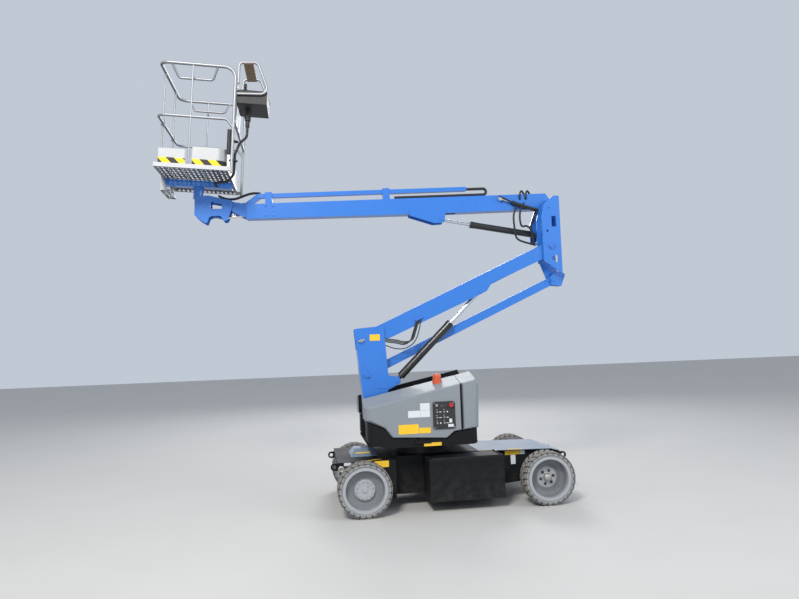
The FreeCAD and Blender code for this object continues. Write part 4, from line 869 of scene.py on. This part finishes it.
# %%
handle = block("latch_handle", (0.442, COVER_FACE, 0.668), (0.632, -0.5855, 0.704), 0.005, 3)
inset(handle, looks_near, 0.008, -0.003)
finished(handle, "turntable", "chassis_black", label_yellow)

socket = turned("charging_socket", [(0.034, 0), (0.034, 0.006), (0.028, 0.010), (0.028, 0.022),
                                    (0.022, 0.024), (0.018, 0.021)], 32)
moved(socket, aimed((-0.425, DRIVE_FACE, 0.465), NEAR))
finished(socket, "chassis", "chassis_black", zinc_grey)


def on_panel(piece, x, z, material=None):
    """Stands a small part made along +Z on the ground control panel."""
    moved(piece, aimed((x, PANEL_FACE, z), NEAR))
    return finished(piece, "near_cover", "control_grey", material)


STOP_X, TOP_Z = 0.745, 1.088
button = turned("ground_stop", [(0.023, 0), (0.023, 0.003), (0.010, 0.004), (0.010, 0.014),
                                (0.020, 0.015), (0.021, 0.019), (0.018, 0.023), (0.008, 0.025)], 32)
on_panel(button, STOP_X, TOP_Z, button_red)
on_panel(turned("stop_collar", [(0.033, 0), (0.033, 0.0015), (0.030, 0.0025)], 32), STOP_X, TOP_Z)
lock = turned("key_switch", [(0.013, 0), (0.013, 0.005), (0.009, 0.007), (0.009, 0.012),
                             (0.007, 0.013)], 24)
on_panel(lock, 0.590, TOP_Z, zinc_grey)
window = plate("hour_window", (0.655, PANEL_FACE, TOP_Z), ALONG, UP, 0.062, 0.026, 0.002, 0.003)
inset(window, looks_near, 0.003, -0.001)
finished(window, "near_cover", "control_grey", cylinder_black)


def toggle():
    """A toggle switch on its hexagon nut, standing on z = 0."""
    nut = hex_bolt(0.0065, 0.004, 1.5)
    lever = turned("lever", [(0.0022, 0.003), (0.0026, 0.012), (0.0036, 0.020), (0.0030, 0.0225)], 12)
    moved(lever, Matrix.Rotation(0.25, 4, "X"))
    return joined("toggle", nut, lever)


def panel_mark(x, z, wide, tall, corner):
    """A blank mark printed on the ground control panel."""
    return plate("mark", (x, PANEL_FACE, z), ALONG, UP, wide, tall, 0.0006, corner)


switches = [(x, z) for z in (1.020, 0.962, 0.904) for x in (0.592, 0.668)]
places = [aimed((x, PANEL_FACE, z), NEAR) for x, z in switches]
finished(spread(toggle(), "ground_toggles", places), "near_cover", "control_grey", zinc_grey)
marks = []
for count, (x, z) in enumerate(switches):
    wide, tall = ((0.022, 0.008), (0.014, 0.014), (0.026, 0.006))[count % 3]
    marks.append(panel_mark(x + 0.034, z, wide, tall, 0.002))
    marks.append(panel_mark(x - 0.004, z + 0.024, 0.012, 0.004, 0.0015))
marks.append(panel_mark(0.735, 0.875, 0.060, 0.030, 0.003))
marks.append(panel_mark(0.735, 0.925, 0.030, 0.040, 0.003))
finished(joined("panel_marks", *marks), "near_cover", "control_grey", label_white)
places = [aimed((x, PANEL_FACE, z), NEAR, 0.4) for x in (0.562, 0.772) for z in (0.856, 1.114)]
finished(spread(hex_bolt(0.005, 0.004), "panel_bolts", places), "near_cover", "control_grey", zinc_grey)

# %% [markdown]
# ## Pin keepers
#
# Each pivot pin is held by a small plate with two bolts across the end of the pin. The seam is the
# edge of the sheet that doubles the upper part of the tower. Four bolts on each side of the upper boom
# hold the pads that the extension slides on.

# %%


def keeper():
    """A keeper plate with its bolts, lying on z = 0, its length along X."""
    strap = plate("strap", (0, 0, 0), ALONG, ACROSS, 0.074, 0.024, 0.005, 0.010)
    modified(strap, "BEVEL", width=0.0008, segments=1, limit_method="ANGLE")
    bolt = hex_bolt(0.0075, 0.006)
    bolts = spread(bolt, "bolts", [Matrix.Translation((x, 0, 0.005)) for x in (-0.025, 0.025)])
    return joined("keeper", strap, bolts)


KEEPERS = (
    # name, body, finish, and for each keeper its pin, its y and its turn
    ("keeper_tower_top", "turntable", zinc_grey, ((TOWER_TOP_PIN, -0.209, 0.3),)),
    ("keeper_tower_foot", "turntable", boom_blue, ((TOWER_FOOT_PIN, -0.209, -0.4),)),
    ("keepers_riser", "riser", boom_blue, ((RISER_BOOM_PIN, -0.207, 0.5), (RISER_LINK_PIN, -0.207, -0.3),
                                           (RISER_TOP_PIN, 0.262, 0.4))),
)
for name, body, finish, ends in KEEPERS:
    places = [aimed((x, y, z), (0, y, 0), turn) for (x, z), y, turn in ends]
    finished(spread(keeper(), name, places), body, "boom_blue", finish)

SEAM = ((-0.144, 1.582), (-0.090, 1.480), (0.010, 1.292), (0.018, 1.272), (0.042, 1.264), (0.134, 1.272))
seam = [(x, TOWER_FACE, z) for x, z in SEAM]
pipe("tower_seam", seam, 0.0045, "turntable", "boom_blue", steps=5)

places = [aimed((x, y, z), (0, outward, 0), 0.3) for y, outward in ((0.070, -1), (0.210, 1))
          for x in (-1.171, -1.090) for z in (3.374, 3.262)]
pads = spread(hex_bolt(0.011, 0.008), "wear_pad_bolts", places)
finished(pads, "upper_boom", "boom_blue", boom_blue)

# %% [markdown]
# ## Hoses across the joints
#
# A hose that crosses a pivot runs from one body to the next. Its mesh is made once where it lies and
# is attached to neither body.

# %%


def hose_run(name, points, radius):
    """A hose from one body to the next, made once where it lies."""
    piece = pipe(name, points, radius)
    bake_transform(piece)
    return piece


HOSE_GAP_Y = -0.1727
TOWER_HOSE_R, TOWER_CABLE_R, ROOT_HOSE_R, TIP_HOSE_R = 0.0068, 0.006, 0.0115, 0.009

# The tower's three hoses lie above one another at the tower and side by side on the boom.
TOWER_HOSE = ((0.060, 1.800), (0.126, 1.796), (0.173, 1.786), (0.253, 1.776), (0.332, 1.749),
              (0.421, 1.778), (0.449, 1.864), (0.478, 1.950), (0.500, 2.012))
for count, shift in enumerate((-0.016, 0.0, 0.016)):
    run = [(x + shift * (0.2 if x < 0.35 else 0.9), HOSE_GAP_Y, z + shift * (1 if x < 0.4 else 0.3))
           for x, z in TOWER_HOSE]
    hose_run(f"tower_hose_{count}", run, TOWER_HOSE_R)
TOWER_CABLE = ((0.060, 1.765), (0.140, 1.730), (0.230, 1.695), (0.340, 1.690), (0.450, 1.750),
               (0.510, 1.880), (0.535, 2.030))
sag = [(x, HOSE_GAP_Y, z) for x, z in TOWER_CABLE]
hose_run("tower_cable", sag, TOWER_CABLE_R)
clip = block("hose_clip", (-0.048, -0.0155, -0.014), (0.048, -0.0005, 0.014), 0.003, 2)
inset(clip, looks_near, 0.005, 0.0015)
moved(clip, Matrix.Translation((0.512, -0.165, 2.026)) @ Matrix.Rotation(-LOWER_ANGLE, 4, "Y"))
finished(clip, "lower_boom", "boom_blue", boom_blue)

ROOT_HOSES = (
    # y of the hose, then x and z of its points
    (0.034, ((1.985, 2.860), (1.973, 2.930), (1.945, 3.102), (1.990, 3.215), (2.060, 3.290),
             (2.000, 3.318), (1.900, 3.332), (1.780, 3.372), (1.700, 3.402), (1.619, 3.447),
             (1.570, 3.462))),
    (0.048, ((1.990, 2.880), (1.935, 2.890), (1.803, 2.929), (1.758, 2.975), (1.750, 3.086),
             (1.742, 3.197), (1.750, 3.262), (1.790, 3.345), (1.800, 3.380))),
    (0.040, ((1.995, 2.960), (1.960, 3.060), (1.898, 3.112), (1.835, 3.090), (1.817, 3.180),
             (1.822, 3.270), (1.850, 3.350), (1.880, 3.385))),
)
for count, (y, run) in enumerate(ROOT_HOSES):
    hose_run(f"root_hose_{count}", [(x, y, z) for x, z in run], ROOT_HOSE_R)
LOOP = ((0.000, 0.082, 3.430), (-0.006, 0.057, 3.445), (-0.006, 0.055, 3.492), (0.010, 0.062, 3.530),
        (0.035, 0.085, 3.542), (0.070, 0.120, 3.502))
for count, x in enumerate((1.842, 1.915)):
    pipe(f"root_loop_{count}", [(x + along, y, z) for along, y, z in LOOP], ROOT_HOSE_R, "upper_boom")

TIP_HOSE = ((-1.228, 3.5285), (-1.262, 3.5310), (-1.305, 3.532), (-1.358, 3.522), (-1.426, 3.497),
            (-1.500, 3.466), (-1.570, 3.459), (-1.640, 3.472), (-1.700, 3.500))
for count, y in enumerate((0.118, 0.140, 0.162)):
    run = [(x, y, z + 0.004 * (count % 2)) for x, z in TIP_HOSE]
    hose_run(f"tip_hose_{count}", run, TIP_HOSE_R)

# Two oval straps tie the control box's cable to the corner post of the rails.
for count, height in enumerate((0.120, 0.330)):
    band = turned(f"cable_strap_{count}", [(0.047, -0.006), (0.048, -0.005), (0.048, 0.005),
                                           (0.047, 0.006)], 24)
    moved(band, Matrix.Diagonal((0.75, 1.0, 1.0, 1)))
    moved(band, aimed(on_platform(0.428, -0.545, height), (0.065, 0, 1), 0.43))
    finished(band, "platform", "hose_black", hose_black)

# %% [markdown]
# ## Platform controls
#
# The box on the platform has a stop button, two rows of toggles beside blank marks and a boot round
# the foot of the stick.

# %%
SEAT, PANEL_TOP = 0.4326, 0.905


def on_lid(x, y):
    """A point on the control box's lid, x from the box's end and y across."""
    return on_platform(SEAT + x, y, PANEL_TOP)


button = turned("platform_stop", [(0.022, 0), (0.022, 0.003), (0.009, 0.004), (0.009, 0.014),
                                  (0.019, 0.015), (0.020, 0.019), (0.016, 0.023), (0.006, 0.025)], 32)
moved(button, aimed(on_lid(0.250, -0.200), PLATFORM_UP))
finished(button, "platform", "control_grey", button_red)
boot = turned("stick_boot", [(0.032, 0.018), (0.032, 0.024), (0.026, 0.028), (0.028, 0.034),
                             (0.020, 0.038), (0.022, 0.044), (0.014, 0.048), (0.010, 0.056)], 28)
moved(boot, aimed(on_lid(0.076, -0.4337), PLATFORM_UP))
finished(boot, "platform", "control_grey", hose_black)
switches = [(x, y) for x in (0.150, 0.215) for y in (-0.50, -0.43, -0.36, -0.29)]
places = [aimed(on_lid(x, y), PLATFORM_UP) for x, y in switches]
finished(spread(toggle(), "platform_toggles", places), "platform", "control_grey", zinc_grey)
marks = [plate("mark", on_lid(x + 0.028, y), PLATFORM_ALONG, ACROSS, 0.012, 0.030, 0.0006, 0.002)
         for x, y in switches]
marks.append(plate("mark", on_lid(0.070, -0.300), PLATFORM_ALONG, ACROSS, 0.070, 0.110, 0.0008, 0.005))
finished(joined("platform_marks", *marks), "platform", "control_grey", label_white)

# %% [markdown]
# ## Lids and seams
#
# Lids on the battery boxes with their latches, and the dark seal in the gap of the near cover.

# %%
BOX_LEFT, BOX_RIGHT, BOX_INNER, BOX_OUTER = 0.4700, 1.2740, 0.3400, 0.7058
for side, sign in (("near", -1), ("far", 1)):
    y_low, y_high = sorted((sign * BOX_INNER, sign * BOX_OUTER))
    lid = block("box_lid_" + side, (BOX_LEFT, y_low, 0.492), (BOX_RIGHT, y_high, 0.5462), 0.005, 3)
    inset(lid, looks_up, 0.030, -0.0008)
    finished(lid, "chassis", "chassis_black")
    for end, x in (("a", 0.640), ("b", 1.100)):
        latch = plate(f"lid_latch_{side}_{end}", (x, sign * BOX_OUTER, 0.478), (-sign, 0, 0), UP,
                      0.030, 0.060, 0.005, 0.006)
        modified(latch, "BEVEL", width=0.0012, segments=2, limit_method="ANGLE")
        finished(latch, "chassis", "chassis_black")
seal = block("cover_seal_near", (0.865, -0.5985, 0.84), (0.869, -0.560, 1.305), 0.002, 2)
finished(seal, "turntable", "chassis_black", hose_black)

# %% [markdown]
# ## Floor and light
#
# A wide, flat, pale floor just under the tyres, a bright sky and three soft lamps: the sun's side, a
# weaker one from the steered end and one from behind.

# %%
FLOOR_GAP = 0.0005
bpy.ops.mesh.primitive_plane_add(size=60, location=(0, 0, rest_box[0][2] - FLOOR_GAP))
floor = bpy.context.object
floor.name = "floor"
ground = Paint("floor_pale", (0.52, 0.51, 0.49), 0.75)
ground.blend(ground.noise(0.9, 5).ramp(0.35, 0.75) * 0.25, (0.46, 0.45, 0.43))
ground.rough = ground.rough + ground.noise(0.05) * 0.1
floor.data.materials.append(ground.done())

world = bpy.data.worlds.new("sky")
world.use_nodes = True
world.node_tree.nodes["Background"].inputs["Color"].default_value = (0.80, 0.88, 1.0, 1)
world.node_tree.nodes["Background"].inputs["Strength"].default_value = 0.66
bpy.context.scene.world = world
bpy.context.scene.view_settings.view_transform = "Standard"

LAMPS = (
    # name, place, aim, size in metres, watts, colour
    ("key", (-3.5, -8.5, 9.2), (0.2, 0, 1.8), 2.6, 1130, (1.0, 0.97, 0.92)),
    ("fill", (8, -6, 5), (0.5, 0, 1.5), 5.0, 260, (0.9, 0.95, 1.0)),
    ("rim", (2, 9, 7), (0.2, 0, 2.5), 4.0, 500, (1.0, 1.0, 1.0)),
)
for name, place, aim, size, watts, colour in LAMPS:
    light = bpy.data.lights.new(name, "AREA")
    light.size, light.energy, light.color = size, watts, colour
    holder = bpy.data.objects.new(name, light)
    holder.location = place
    holder.rotation_euler = (Vector(aim) - Vector(place)).to_track_quat("-Z", "Y").to_euler()
    bpy.context.scene.collection.objects.link(holder)
